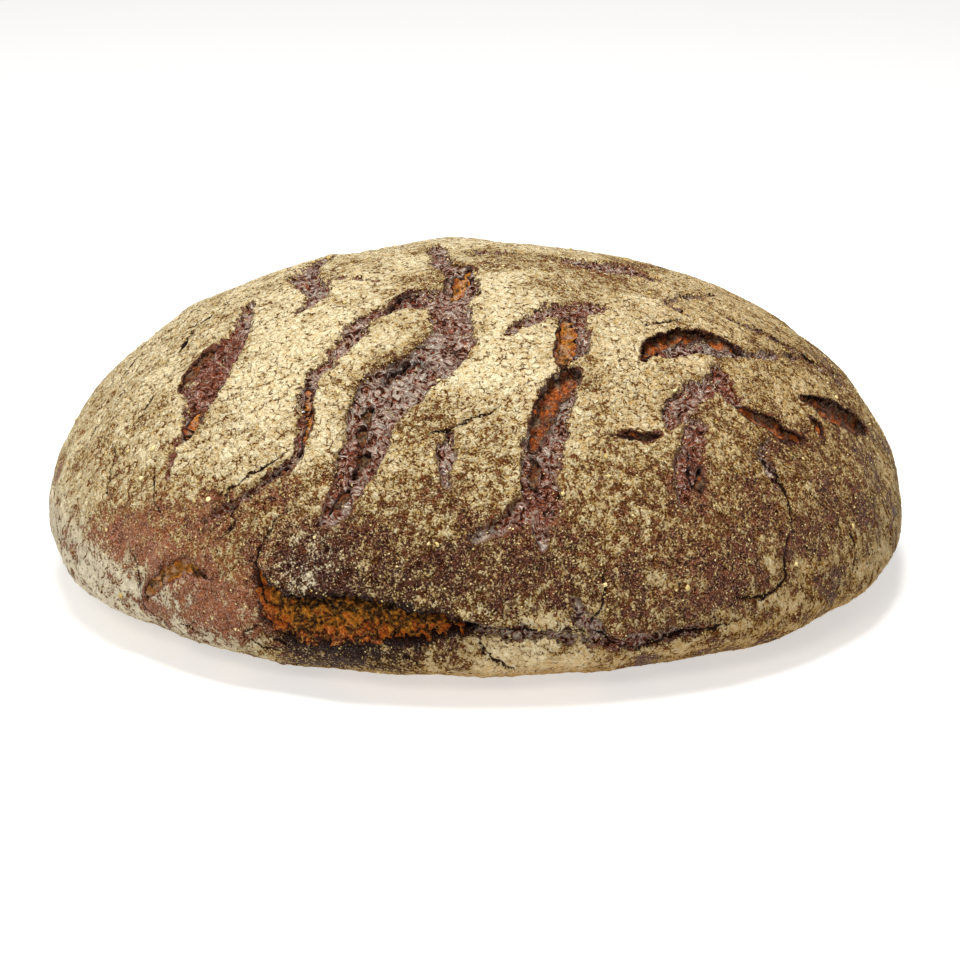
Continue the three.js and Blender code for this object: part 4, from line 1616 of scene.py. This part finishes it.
class Graph:
    """A material's node tree, built by one function."""

    def __init__(self, name: str) -> None:
        """Starts an empty material.

        Args:
            name: what the material really is.
        """
        self.material = bpy.data.materials.new(name)
        self.material.use_nodes = True
        self.tree = self.material.node_tree
        self.tree.nodes.clear()

    def add(
        self,
        kind: str,
        *values: object,
        out: int | str = 0,
        named: dict | None = None,
        **settings: object,
    ) -> Socket:
        """Adds a node, sets it up and links it.

        Args:
            kind: the node's type, without its ShaderNode prefix.
            values: numbers, colours or sockets for its first inputs; the rest keep Blender's
                own values, so a MapRange goes from 0 to 1 unless it is told otherwise.
            out: which output to give back.
            named: the same for inputs given by name or number.
            settings: the node's own properties.

        Returns:
            The chosen output socket.
        """
        node = self.tree.nodes.new("ShaderNode" + kind)
        for key, value in settings.items():
            setattr(node, key, value)
        for key, value in [*enumerate(values), *(named or {}).items()]:
            if isinstance(value, Socket):
                self.tree.links.new(value, node.inputs[key])
            elif value is not None:
                node.inputs[key].default_value = value
        return node.outputs[out]

    def millimetres(self) -> Socket:
        """Places on the piece in mm.

        Returns:
            The socket.
        """
        place = self.add("TexCoord", out="Object")
        return self.add("VectorMath", place, named={"Scale": 1000.0}, operation="SCALE")

    def finish(self, surface: Socket) -> bpy.types.Material:
        """Links the surface shader to the material's output.

        Args:
            surface: the shader.

        Returns:
            The material.
        """
        output = self.tree.nodes.new("ShaderNodeOutputMaterial")
        self.tree.links.new(surface, output.inputs["Surface"])
        return self.material


@dataclass(frozen=True)
class CrustPatterns:
    """What the crust's finish is mixed from, as sockets; noises are level at 0 unless said."""

    mark: dict[Mark, Socket]
    coarse: Socket  # clumps of flour
    ragged: Socket  # grains
    fine: Socket  # grains and specks together
    patch: Socket  # places where more or less flour fell, level at 0.5
    blotch: Socket  # lighter and darker skin, level at 0.5
    clods: Socket  # soft lumps, level at 0.5
    folds: Socket  # distance from the crest of a wrinkle in stretched skin
    crumbs: Socket  # distance from the middle of a crumb of flour
    lumps: Socket  # 1 on top of a lump of flour, 0 in the slit round it
    slit: Socket  # 1 in a slit


@dataclass(frozen=True)
class CrustFinish:
    """Baked rye skin under cracked flour: matt cream crumbs over glossy dark brown."""

    flour_thick: str = "d9cca9"
    flour_thin: str = "ac873e"
    flour_gold: str = "b5853a"
    flour_raw: str = "eadfc6"
    stain: str = "5c3a18"
    skin_pit: str = "1e0702"
    skin_mid: str = "4a2311"
    skin_red: str = "a66238"
    glint: str = "a09088"
    strip_flank: str = "722e06"
    strip_crest_sheen: str = "aca091"
    strip_hollow_amber_and_shade: str = "2c0f02"
    scorched: str = "1b0e0b"
    # near-black: painted shade in rifts, and partly bare crust in cracks
    torn: str = "220d05"
    cell: float = 2.3  # width of a lump of flour in mm
    # How often each pattern repeats, per mm of crust.
    wander_rate: float = 0.6  # 1.7 mm apart: bends the slits
    clump_rate: float = 0.42  # 2.4 mm: clumps of flour
    grain_rate: float = 1.6  # 0.6 mm: grains of flour
    speck_rate: float = 2.9  # 0.35 mm: bran
    patch_rate: float = 0.1  # 10 mm: uneven dusting
    blotch_rate: float = 0.5  # 2 mm: blisters of the skin
    crumb_rate: float = 0.95  # 1.1 mm: crumbs of flour
    clod_rate: float = 0.6  # 1.7 mm: soft lumps
    fold_rate: float = 0.29  # 3.4 mm: wrinkles of stretched skin
    upright: tuple[float, float, float] = (1.0, 1.0, 0.72)  # draws patterns out upwards
    skin_roughness: float = 0.2
    flour_roughness: float = 0.95

    def build(self) -> bpy.types.Material:
        """Makes the material.

        Returns:
            The material.
        """
        g = Graph("baked rye crust with flour")
        p = self._patterns(g)
        amount, over = self._flour(g, p)
        cover = g.add("MapRange", over, -0.014, 0.02, interpolation_type="SMOOTHSTEP")
        thick = g.add("MapRange", over, 0.0, 0.22)
        haze = g.add("MapRange", over, -0.14, -0.01, 0.0, 0.34)
        powder = g.add("Math", haze, cover, operation="MAXIMUM")
        crack = self._crack(g, p)

        # Dents press the wrinkles of stretched skin out of shape, and hollows lie between them; the
        # hollows are painted darker, partly as painted shade.
        dent = g.add("Math", p.blotch, p.clods, operation="ADD")
        dent = g.add("Math", dent, 0.6, -0.6, operation="MULTIPLY_ADD")
        dent = g.add("Math", p.fine, 0.15, dent, operation="MULTIPLY_ADD")
        hollow = g.add("Math", dent, -0.6, p.folds, operation="MULTIPLY_ADD")
        hollow = g.add("MapRange", hollow, 0.085, 0.19)
        stretch = g.add("MapRange", p.mark[Mark.STRIP], -0.4, 0.6)
        stained = g.add("MapRange", amount, 0.38, 0.85, 0.0, 0.8)
        skin = self._skin(g, p, dent, hollow, stretch)
        skin = g.add("Mix", named={0: stained, 6: skin, 7: linear(self.stain)}, **MIX_COLOUR)
        dust = self._dust(g, p, amount, thick)
        colour = g.add("Mix", named={0: powder, 6: skin, 7: dust}, **MIX_COLOUR)
        # The crust's walls inside the rifts are painted near-black as painted shade; in cracks this
        # is partly bare crust and partly painted shade.
        deep = g.add("MapRange", p.mark[Mark.RIFT], -0.15, 0.3)
        dark = g.add("Math", deep, crack, operation="MAXIMUM")
        colour = g.add("Mix", named={0: dark, 6: colour, 7: linear(self.torn)}, **MIX_COLOUR)

        # Stretched skin is glossy like varnish, plain skin less so, and flour and hollows dull.
        glossy = g.add("MapRange", p.mark[Mark.STRIP], -0.6, 0.6, 0.14, 0.7)
        glossy = g.add("Math", p.mark[Mark.SOOT_AND_LIP_SHADE], -0.06, glossy, operation="MULTIPLY_ADD")
        shine = g.add("MapRange", glossy, 0.1, 0.7, 0.5, self.skin_roughness)
        dull = g.add("Math", cover, dark, operation="MAXIMUM")
        rough = g.add("Mix", named={0: dull, 2: shine, 3: self.flour_roughness})
        sheen = g.add("Math", hollow, -0.85, 1.0, operation="MULTIPLY_ADD")
        sheen = g.add("Math", sheen, glossy, operation="MULTIPLY")
        sheen = g.add("Math", stained, -0.3, sheen, operation="MULTIPLY_ADD", use_clamp=True)
        sheen = g.add("Mix", named={0: dull, 2: sheen, 3: 0.1})
        top = self._height(g, p, dent, stretch, cover, thick)
        top = g.add("Math", crack, -0.6, top, operation="MULTIPLY_ADD")
        bump = g.add("Bump", named={"Strength": 1.0, "Distance": MM, "Height": top})
        surface = g.add(
            "BsdfPrincipled",
            named={
                "Base Color": colour,
                "Roughness": rough,
                "Specular IOR Level": sheen,
                "Normal": bump,
            },
        )
        return g.finish(surface)

    def _patterns(self, g: Graph) -> CrustPatterns:
        """Lays out the patterns in mm over the crust.

        Args:
            g: the material's graph.

        Returns:
            The patterns.
        """
        mm = g.millimetres()
        # Every noise is level at the origin, so the flat heel takes its pattern from beside it.
        height = g.add("SeparateXYZ", mm, out="Z")
        under = g.add("MapRange", height, 0.0, 1.0, 1.0, 0.0)
        aside = g.add("VectorMath", (5.3, 3.7, 2.9), named={"Scale": under}, operation="SCALE")
        mm = g.add("VectorMath", mm, aside, operation="ADD")
        tall = g.add("VectorMath", mm, self.upright, operation="MULTIPLY")

        def noise(where: Socket, rate: float, detail: float, rough: float = 0.5) -> Socket:
            """A noise that repeats rate times per mm, with detail finer layers."""
            named = {"Vector": where, "Scale": rate, "Detail": detail, "Roughness": rough}
            return g.add("TexNoise", named=named)

        wander = {"Vector": tall, "Scale": self.wander_rate, "Detail": 2.0}
        wander = g.add("TexNoise", out="Color", named=wander)
        centred = g.add("VectorMath", wander, (0.5, 0.5, 0.5), operation="SUBTRACT")
        push = g.add("VectorMath", centred, named={"Scale": 3.2}, operation="SCALE")
        bent = g.add("VectorMath", tall, push, operation="ADD")
        cells = g.add(
            "TexVoronoi",
            out="Distance",
            feature="DISTANCE_TO_EDGE",
            named={"Vector": bent, "Scale": 1 / self.cell},
        )
        crumbs = {"Vector": mm, "Scale": self.crumb_rate}
        folds = {"Vector": mm, "Scale": self.fold_rate, "Detail": 2.0, "Distortion": 1.8}
        folds = g.add("TexNoise", named=folds)
        folds = g.add("Math", folds, -0.5, operation="ADD")
        blotch = noise(mm, self.blotch_rate, 3.0, 0.7)
        coarse = g.add("Math", noise(tall, self.clump_rate, 4.0, 0.7), -0.5, operation="ADD")
        ragged = g.add("Math", noise(mm, self.grain_rate, 2.0, 0.65), -0.5, operation="ADD")
        fine = g.add("Math", noise(mm, self.speck_rate, 1.0), -0.5, operation="ADD")
        parted = g.add("MapRange", blotch, 0.5, 0.6)
        slit = g.add("MapRange", cells, 0.03, 0.11, 1.0, 0.0)
        return CrustPatterns(
            mark={m: g.add("Attribute", out="Fac", attribute_name=m.value) for m in Mark},
            coarse=coarse,
            ragged=ragged,
            fine=g.add("Math", fine, 1.5, ragged, operation="MULTIPLY_ADD"),
            patch=noise(tall, self.patch_rate, 3.0, 0.6),
            blotch=blotch,
            clods=noise(mm, self.clod_rate, 1.0, 0.4),
            folds=g.add("Math", folds, operation="ABSOLUTE"),
            crumbs=g.add("TexVoronoi", out="Distance", named=crumbs),
            lumps=g.add("MapRange", cells, 0.0, 0.32, interpolation_type="SMOOTHSTEP"),
            slit=g.add("Math", slit, parted, operation="MULTIPLY"),
        )

    def _flour(self, g: Graph, p: CrustPatterns) -> tuple[Socket, Socket]:
        """Flour lies where the grains' height passes a level that rises as flour gets scarce.

        Args:
            g: the material's graph.
            p: the patterns.

        Returns:
            How much flour fell there, and how far the grains pass the level.
        """
        amount = g.add("Math", p.patch, -0.5, operation="ADD")
        amount = g.add("Math", amount, 1.0, p.mark[Mark.FLOUR], operation="MULTIPLY_ADD")
        torn = g.add("Math", p.coarse, 7.0, p.mark[Mark.STRIP], operation="MULTIPLY_ADD")
        torn = g.add("Math", p.ragged, 1.5, torn, operation="MULTIPLY_ADD")
        torn = g.add("MapRange", torn, -0.3, 0.2, 0.0, 0.85)
        amount = g.add("Math", amount, torn, operation="SUBTRACT")
        lip = g.add("Math", p.coarse, 3.0, p.mark[Mark.RIFT], operation="MULTIPLY_ADD")
        lip = g.add("MapRange", lip, -0.8, -0.1, 0.0, 0.8)
        amount = g.add("Math", amount, lip, operation="SUBTRACT")
        bite = g.add("MapRange", amount, 0.45, 0.95, 0.95, 0.4)
        uneven = g.add("MapRange", amount, 0.55, 0.9, 1.1, 0.3)
        lift = g.add("Math", amount, 0.6, -0.35, operation="MULTIPLY_ADD")
        lift = g.add("Math", p.slit, -0.42, lift, operation="MULTIPLY_ADD")
        lift = g.add("Math", p.coarse, uneven, lift, operation="MULTIPLY_ADD")
        return amount, g.add("Math", p.ragged, bite, lift, operation="MULTIPLY_ADD")

    def _crack(self, g: Graph, p: CrustPatterns) -> Socket:
        """Cracks: dark lines that wander a little off their course.

        Args:
            g: the material's graph.
            p: the patterns.

        Returns:
            1 inside a crack.
        """
        line = g.add("Math", p.coarse, 4.5, p.mark[Mark.CRACK_SIDE], operation="MULTIPLY_ADD")
        line = g.add("Math", line, operation="ABSOLUTE")
        half = g.add("Math", p.ragged, 1.2, p.mark[Mark.CRACK_HALF], operation="MULTIPLY_ADD")
        gap = g.add("Math", half, line, operation="SUBTRACT")
        return g.add("MapRange", gap, -0.12, 0.18, interpolation_type="SMOOTHSTEP")

    def _skin(
        self, g: Graph, p: CrustPatterns, dent: Socket, hollow: Socket, stretch: Socket
    ) -> Socket:
        """Skin: brown with dark pits, redder low on the left, and blackened near the tears:
        scorched in places, and painted shade along the rifts' lips.

        Stretched skin is a wrinkled film whose crests are painted pale as a painted sheen, with
        brown hollows between them, darkened partly as painted shade.

        Args:
            g: the material's graph.
            p: the patterns.
            dent: what presses the wrinkles out of shape.
            hollow: 1 between wrinkles.
            stretch: 1 on stretched skin.

        Returns:
            The colour.
        """
        tone = g.add("Math", p.blotch, -0.5, operation="ADD")
        tone = g.add("Math", tone, 0.9, p.fine, operation="MULTIPLY_ADD")
        dip = g.add("MapRange", tone, -0.2, 0.14)
        plain = {0: dip, 6: linear(self.skin_pit), 7: linear(self.skin_mid)}
        skin = g.add("Mix", named=plain, **MIX_COLOUR)
        rosy = g.add("Math", tone, 1.5, p.mark[Mark.RED], operation="MULTIPLY_ADD")
        rosy = g.add("MapRange", rosy, 0.15, 1.2)
        skin = g.add("Mix", named={0: rosy, 6: skin, 7: linear(self.skin_red)}, **MIX_COLOUR)

        # Pale crests of the wrinkles: painted sheen.
        crest = g.add("Math", p.folds, -6.2, 1.0, operation="MULTIPLY_ADD")
        crest = g.add("Math", dent, 1.7, crest, operation="MULTIPLY_ADD")
        crest = g.add("Math", p.mark[Mark.RED], -0.9, crest, operation="MULTIPLY_ADD")
        crest = g.add("MapRange", crest, 0.1, 0.78, 0.0, 0.9)
        wrinkled = {0: crest, 6: linear(self.strip_flank), 7: linear(self.strip_crest_sheen)}
        film = g.add("Mix", named=wrinkled, **MIX_COLOUR)
        # Hollows between wrinkles: dark amber-brown, partly the film's colour and partly painted
        # shade.
        film = g.add("Mix", named={0: hollow, 6: film, 7: linear(self.strip_hollow_amber_and_shade)}, **MIX_COLOUR)
        skin = g.add("Mix", named={0: stretch, 6: skin, 7: film}, **MIX_COLOUR)

        # The scorched colour follows the soot mark, so along the rifts' lips it is painted shade.
        black = g.add("Math", p.blotch, 0.5, p.mark[Mark.SOOT_AND_LIP_SHADE], operation="MULTIPLY_ADD")
        black = g.add("MapRange", black, 0.35, 1.1, 0.0, 0.92)
        skin = g.add("Mix", named={0: black, 6: skin, 7: linear(self.scorched)}, **MIX_COLOUR)
        # Glints: pale specks painted on the skin as painted highlights; on red skin they are partly
        # a haze of fine flour.
        glints = g.add("Math", p.mark[Mark.RED], 0.2, p.fine, operation="MULTIPLY_ADD")
        glints = g.add("MapRange", glints, 0.22, 0.5, 0.0, 0.85)
        bare_share = g.add("Math", stretch, -0.7, 1.0, operation="MULTIPLY_ADD")
        glints = g.add("Math", glints, bare_share, operation="MULTIPLY")
        return g.add("Mix", named={0: glints, 6: skin, 7: linear(self.glint)}, **MIX_COLOUR)

    def _dust(self, g: Graph, p: CrustPatterns, amount: Socket, thick: Socket) -> Socket:
        """Flour: golden where it is thin or toasted, cream where it lies thick, white if raw; its
        lumps and grains are painted lighter on top and darker round the edges, as painted light and
        shade of its relief.

        Args:
            g: the material's graph.
            p: the patterns.
            amount: how much flour fell there.
            thick: 1 where it stands high.

        Returns:
            The colour.
        """
        pale = g.add("MapRange", amount, 0.3, 0.95, 0.2, 0.62)
        pale = g.add("Math", thick, 0.25, pale, operation="MULTIPLY_ADD")
        # The grains, clumps, crumbs and lumps of the bump also shade the colour: painted light and
        # shade.
        pale = g.add("Math", p.fine, 0.9, pale, operation="MULTIPLY_ADD")
        pale = g.add("Math", p.coarse, 0.8, pale, operation="MULTIPLY_ADD")
        pale = g.add("Math", p.crumbs, -0.5, pale, operation="MULTIPLY_ADD")
        pale = g.add("Math", p.lumps, 0.3, pale, operation="MULTIPLY_ADD")
        pale = g.add("Math", pale, 0.04, operation="ADD", use_clamp=True)
        tones = {0: pale, 6: linear(self.flour_thin), 7: linear(self.flour_thick)}
        dust = g.add("Mix", named=tones, **MIX_COLOUR)
        # Round the foot this toasting is partly painted shade.
        toasted = g.add("Math", p.coarse, -1.2, p.mark[Mark.GOLD_AND_PAINTED_LIGHT], operation="MULTIPLY_ADD")
        toasted = g.add("MapRange", toasted, 0.1, 1.0, 0.0, 0.7)
        dust = g.add("Mix", named={0: toasted, 6: dust, 7: linear(self.flour_gold)}, **MIX_COLOUR)
        # Over the gape this raw white is a painted reflection.
        raw = g.add("MapRange", p.mark[Mark.GOLD_AND_PAINTED_LIGHT], 0.1, -0.4, 0.0, 0.7)
        return g.add("Mix", named={0: raw, 6: dust, 7: linear(self.flour_raw)}, **MIX_COLOUR)

    def _height(
        self,
        g: Graph,
        p: CrustPatterns,
        dent: Socket,
        stretch: Socket,
        cover: Socket,
        thick: Socket,
    ) -> Socket:
        """Fine relief in mm: flour stands on the skin, and bare skin is wrinkled.

        Args:
            g: the material's graph.
            p: the patterns.
            dent: what presses the wrinkles out of shape.
            stretch: 1 on stretched skin.
            cover: 1 under flour.
            thick: 1 where flour stands high.

        Returns:
            The height.
        """
        wrinkle = g.add("Math", p.folds, -6.5, operation="MULTIPLY")
        wrinkle = g.add("Math", dent, 1.3, wrinkle, operation="MULTIPLY_ADD")
        wrinkle = g.add("Math", p.clods, 0.5, wrinkle, operation="MULTIPLY_ADD")
        plain = g.add("Math", p.fine, 0.5, operation="MULTIPLY")
        plain = g.add("Math", dent, 1.4, plain, operation="MULTIPLY_ADD")
        plain = g.add("Math", p.clods, 2.0, plain, operation="MULTIPLY_ADD")
        skin = g.add("Mix", named={0: stretch, 2: plain, 3: wrinkle})
        flour = g.add("Math", thick, 0.5, 0.4, operation="MULTIPLY_ADD")
        for pattern, height in ((p.lumps, 0.45), (p.fine, 0.45), (p.clods, 1.8), (p.crumbs, -0.4)):
            flour = g.add("Math", pattern, height, flour, operation="MULTIPLY_ADD")
        return g.add("Mix", named={0: cover, 2: skin, 3: flour})


@dataclass(frozen=True)
class CrumbFinish:
    """Open rye crumb, softly glossy: olive in the shade, then golden, orange, brown and burnt. Its
    pits and low grain are painted dark as painted shade, and its grain tips painted bright as
    painted highlights.

    A dull, greyish film has dried over it in all the rifts but the gape; its pale grey tips there
    are partly film and partly painted sheen.
    """

    shaded: str = "241a08"
    golden: str = "d0811a"
    orange: str = "ba540c"
    browned: str = "6c2408"
    burnt: str = "220903"
    pit: str = "220d03"
    glint: str = "e4a648"
    dulled: str = "744418"
    film_and_sheen: str = "b29c82"
    grain_rate: float = 1.3  # per mm, so pores 0.8 mm apart
    blotch_rate: float = 0.4  # per mm, so 2.5 mm apart
    roughness: float = 0.5

    def build(self) -> bpy.types.Material:
        """Makes the material.

        Returns:
            The material.
        """
        g = Graph("open rye crumb")
        mm = g.millimetres()
        toast = g.add("Attribute", out="Fac", attribute_name="toast")
        pit = g.add("Attribute", out="Fac", attribute_name="pit")
        film = g.add("Attribute", out="Fac", attribute_name="film")
        pores = {"Vector": mm, "Scale": self.grain_rate, "Detail": 3.0, "Roughness": 0.75}
        grain = g.add("TexNoise", named=pores)
        blotch = g.add("TexNoise", named={"Vector": mm, "Scale": self.blotch_rate, "Detail": 3.0})
        browning = g.add("Math", blotch, -0.5, operation="ADD")
        browning = g.add("Math", browning, 2.2, toast, operation="MULTIPLY_ADD")
        colour = linear(self.shaded)
        starts = {-0.25: self.golden, 0.2: self.orange, 0.75: self.browned, 1.1: self.burnt}
        for start, tone in starts.items():
            share = g.add("MapRange", browning, start, start + 0.3)
            colour = g.add("Mix", named={0: share, 6: colour, 7: linear(tone)}, **MIX_COLOUR)
        dulled = g.add("Math", film, 0.25, operation="MULTIPLY")
        colour = g.add("Mix", named={0: dulled, 6: colour, 7: linear(self.dulled)}, **MIX_COLOUR)
        # Pits and low grain: painted shade.
        hollow = g.add("MapRange", pit, 0.2, 0.8, 0.0, 0.95)
        shade = g.add("MapRange", grain, 0.5, 0.36, 0.0, 0.92)
        hollow = g.add("Math", hollow, shade, operation="MAXIMUM")
        colour = g.add("Mix", named={0: hollow, 6: colour, 7: linear(self.pit)}, **MIX_COLOUR)
        # Grain tips: painted highlights.
        light = g.add("MapRange", grain, 0.52, 0.66, 0.0, 0.75)
        tips = g.add("Math", film, -0.6, 1.0, operation="MULTIPLY_ADD")
        light = g.add("Math", light, tips, operation="MULTIPLY")
        colour = g.add("Mix", named={0: light, 6: colour, 7: linear(self.glint)}, **MIX_COLOUR)
        # Pale grey tips in the film: partly dried film and partly painted sheen.
        film_and_sheen = g.add("Math", grain, 0.6, blotch, operation="MULTIPLY_ADD")
        film_and_sheen = g.add("MapRange", film_and_sheen, 0.79, 0.93, 0.0, 0.6)
        film_and_sheen = g.add("Math", film_and_sheen, film, operation="MULTIPLY")
        young = g.add("MapRange", toast, 0.3, 0.8, 1.0, 0.3)
        film_and_sheen = g.add("Math", film_and_sheen, young, operation="MULTIPLY")
        colour = g.add("Mix", named={0: film_and_sheen, 6: colour, 7: linear(self.film_and_sheen)}, **MIX_COLOUR)
        bump = g.add("Bump", named={"Strength": 1.0, "Distance": 1.4 * MM, "Height": grain})
        surface = g.add(
            "BsdfPrincipled",
            named={
                "Base Color": colour,
                "Roughness": self.roughness,
                "Specular IOR Level": 0.25,
                "Normal": bump,
            },
        )
        return g.finish(surface)


@dataclass(frozen=True)
class LumpFinish:
    """Lumps of flour: dry and matt, cream to ochre."""

    pale: str = "dcca96"
    ochre: str = "b39a5e"
    grain_rate: float = 2.0  # per mm, so 0.5 mm apart
    roughness: float = 0.95

    def build(self) -> bpy.types.Material:
        """Makes the material.

        Returns:
            The material.
        """
        g = Graph("clotted rye flour")
        mm = g.millimetres()
        tint = g.add("Attribute", out="Fac", attribute_name="tint")
        grain = g.add("TexNoise", named={"Vector": mm, "Scale": self.grain_rate, "Detail": 2.0})
        share = g.add("Math", grain, 0.5, tint, operation="MULTIPLY_ADD")
        share = g.add("MapRange", share, 0.3, 1.2)
        tones = {0: share, 6: linear(self.ochre), 7: linear(self.pale)}
        colour = g.add("Mix", named=tones, **MIX_COLOUR)
        bump = g.add("Bump", named={"Strength": 0.6, "Distance": 0.3 * MM, "Height": grain})
        surface = g.add(
            "BsdfPrincipled",
            named={
                "Base Color": colour,
                "Roughness": self.roughness,
                "Specular IOR Level": 0.15,
                "Normal": bump,
            },
        )
        return g.finish(surface)


@dataclass(frozen=True)
class FloorFinish:
    """A plain white table, lit a little from below."""

    colour: str = "c6c4c1"
    roughness: float = 0.45
    glow: float = 0.56

    def build(self) -> bpy.types.Material:
        """Makes the material.

        Returns:
            The material.
        """
        g = Graph("white table")
        surface = g.add(
            "BsdfPrincipled",
            named={
                "Base Color": linear(self.colour),
                "Roughness": self.roughness,
                "Emission Color": (1.0, 1.0, 1.0, 1.0),
                "Emission Strength": self.glow,
            },
        )
        return g.finish(surface)


# ---- The studio ----


@dataclass(frozen=True)
class Lamp:
    """A rectangular soft light."""

    name: str
    place: tuple[float, float, float]  # in metres
    size: tuple[float, float]  # in metres
    watts: float
    colour: str = "ffffff"


@dataclass(frozen=True)
class Studio:
    """White table, white surroundings, soft lights and the camera."""

    world_strength: float = 0.27
    floor_half: float = 6000.0  # from the middle to an edge, in mm
    camera_place: tuple[float, float, float] = (0.0, -0.8457, 0.3478)  # in metres
    camera_aim: tuple[float, float, float] = (0.00113, -0.00467, 0.0272)
    lamp_aim: tuple[float, float, float] = (0.0, 0.0, 0.03)
    lens: float = 110.3  # in mm, with the sensor's width
    sensor: float = 36.0
    lamps: tuple[Lamp, ...] = (
        Lamp("overhead", (-0.05, -0.1, 0.9), (0.35, 0.35), 12.3),
        Lamp("front", (-0.3, -0.95, 0.75), (0.5, 0.3), 6.0, "fffaf2"),
    )

    def build(self) -> None:
        """Makes the floor, the world, the lights and the camera."""
        scene = bpy.context.scene
        world = bpy.data.worlds.new("studio")
        world.use_nodes = True
        background = world.node_tree.nodes["Background"]
        background.inputs["Color"].default_value = (1, 1, 1, 1)
        background.inputs["Strength"].default_value = self.world_strength
        scene.world = world
        scene.view_settings.view_transform = "Standard"
        scene.view_settings.look = "None"
        corners = np.array([(-1, -1, 0), (1, -1, 0), (1, 1, 0), (-1, 1, 0)]) * self.floor_half
        floor = new_object(Name.FLOOR, corners, [[0, 1, 2, 3]], FloorFinish().build())
        for lamp in self.lamps:
            light = bpy.data.lights.new(lamp.name, "AREA")
            light.shape = "RECTANGLE"
            light.size, light.size_y = lamp.size
            light.energy = lamp.watts
            light.color = linear(lamp.colour)[:3]
            holder = bpy.data.objects.new(lamp.name, light)
            holder.matrix_world = self._facing(lamp.place, self.lamp_aim)
            scene.collection.objects.link(holder)
        camera = bpy.data.cameras.new("camera")
        camera.lens = self.lens
        camera.sensor_width = self.sensor
        holder = bpy.data.objects.new("camera", camera)
        holder.matrix_world = self._facing(self.camera_place, self.camera_aim)
        scene.collection.objects.link(holder)
        scene.camera = holder

    @staticmethod
    def _facing(place: tuple[float, float, float], aim: tuple[float, float, float]) -> Matrix:
        """The placing of something that looks down its own -Z from one point to another.

        Args:
            place: where it stands.
            aim: what it looks at.

        Returns:
            The world matrix.
        """
        way = Vector(aim) - Vector(place)
        matrix = way.to_track_quat("-Z", "Y").to_matrix().to_4x4()
        matrix.translation = Vector(place)
        return matrix


def main() -> None:
    """Builds the loaf's pieces, then the studio."""
    relief = Relief()
    crust = Crust(relief)
    lump_finish = LumpFinish().build()
    pieces = [
        crust.build(CrustFinish().build()),
        TornCrumb(relief).build(CrumbFinish().build()),
        FlourLumps(
            crust, Name.CLUMPS, count=300, smallest=0.25, largest=0.8, level=2, seed=5
        ).build(lump_finish),
        FlourLumps(
            crust, Name.SPECKS, count=20000, smallest=0.12, largest=0.36, level=0, seed=6
        ).build(lump_finish),
    ]
    for piece in pieces:
        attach(piece, "root")
        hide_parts("loaf")
        LOG.info("%s: %d faces", piece.name, len(piece.data.polygons))
    Studio().build()


if __name__ == "__main__":
    logging.basicConfig(level=logging.INFO, format="%(message)s")
    main()
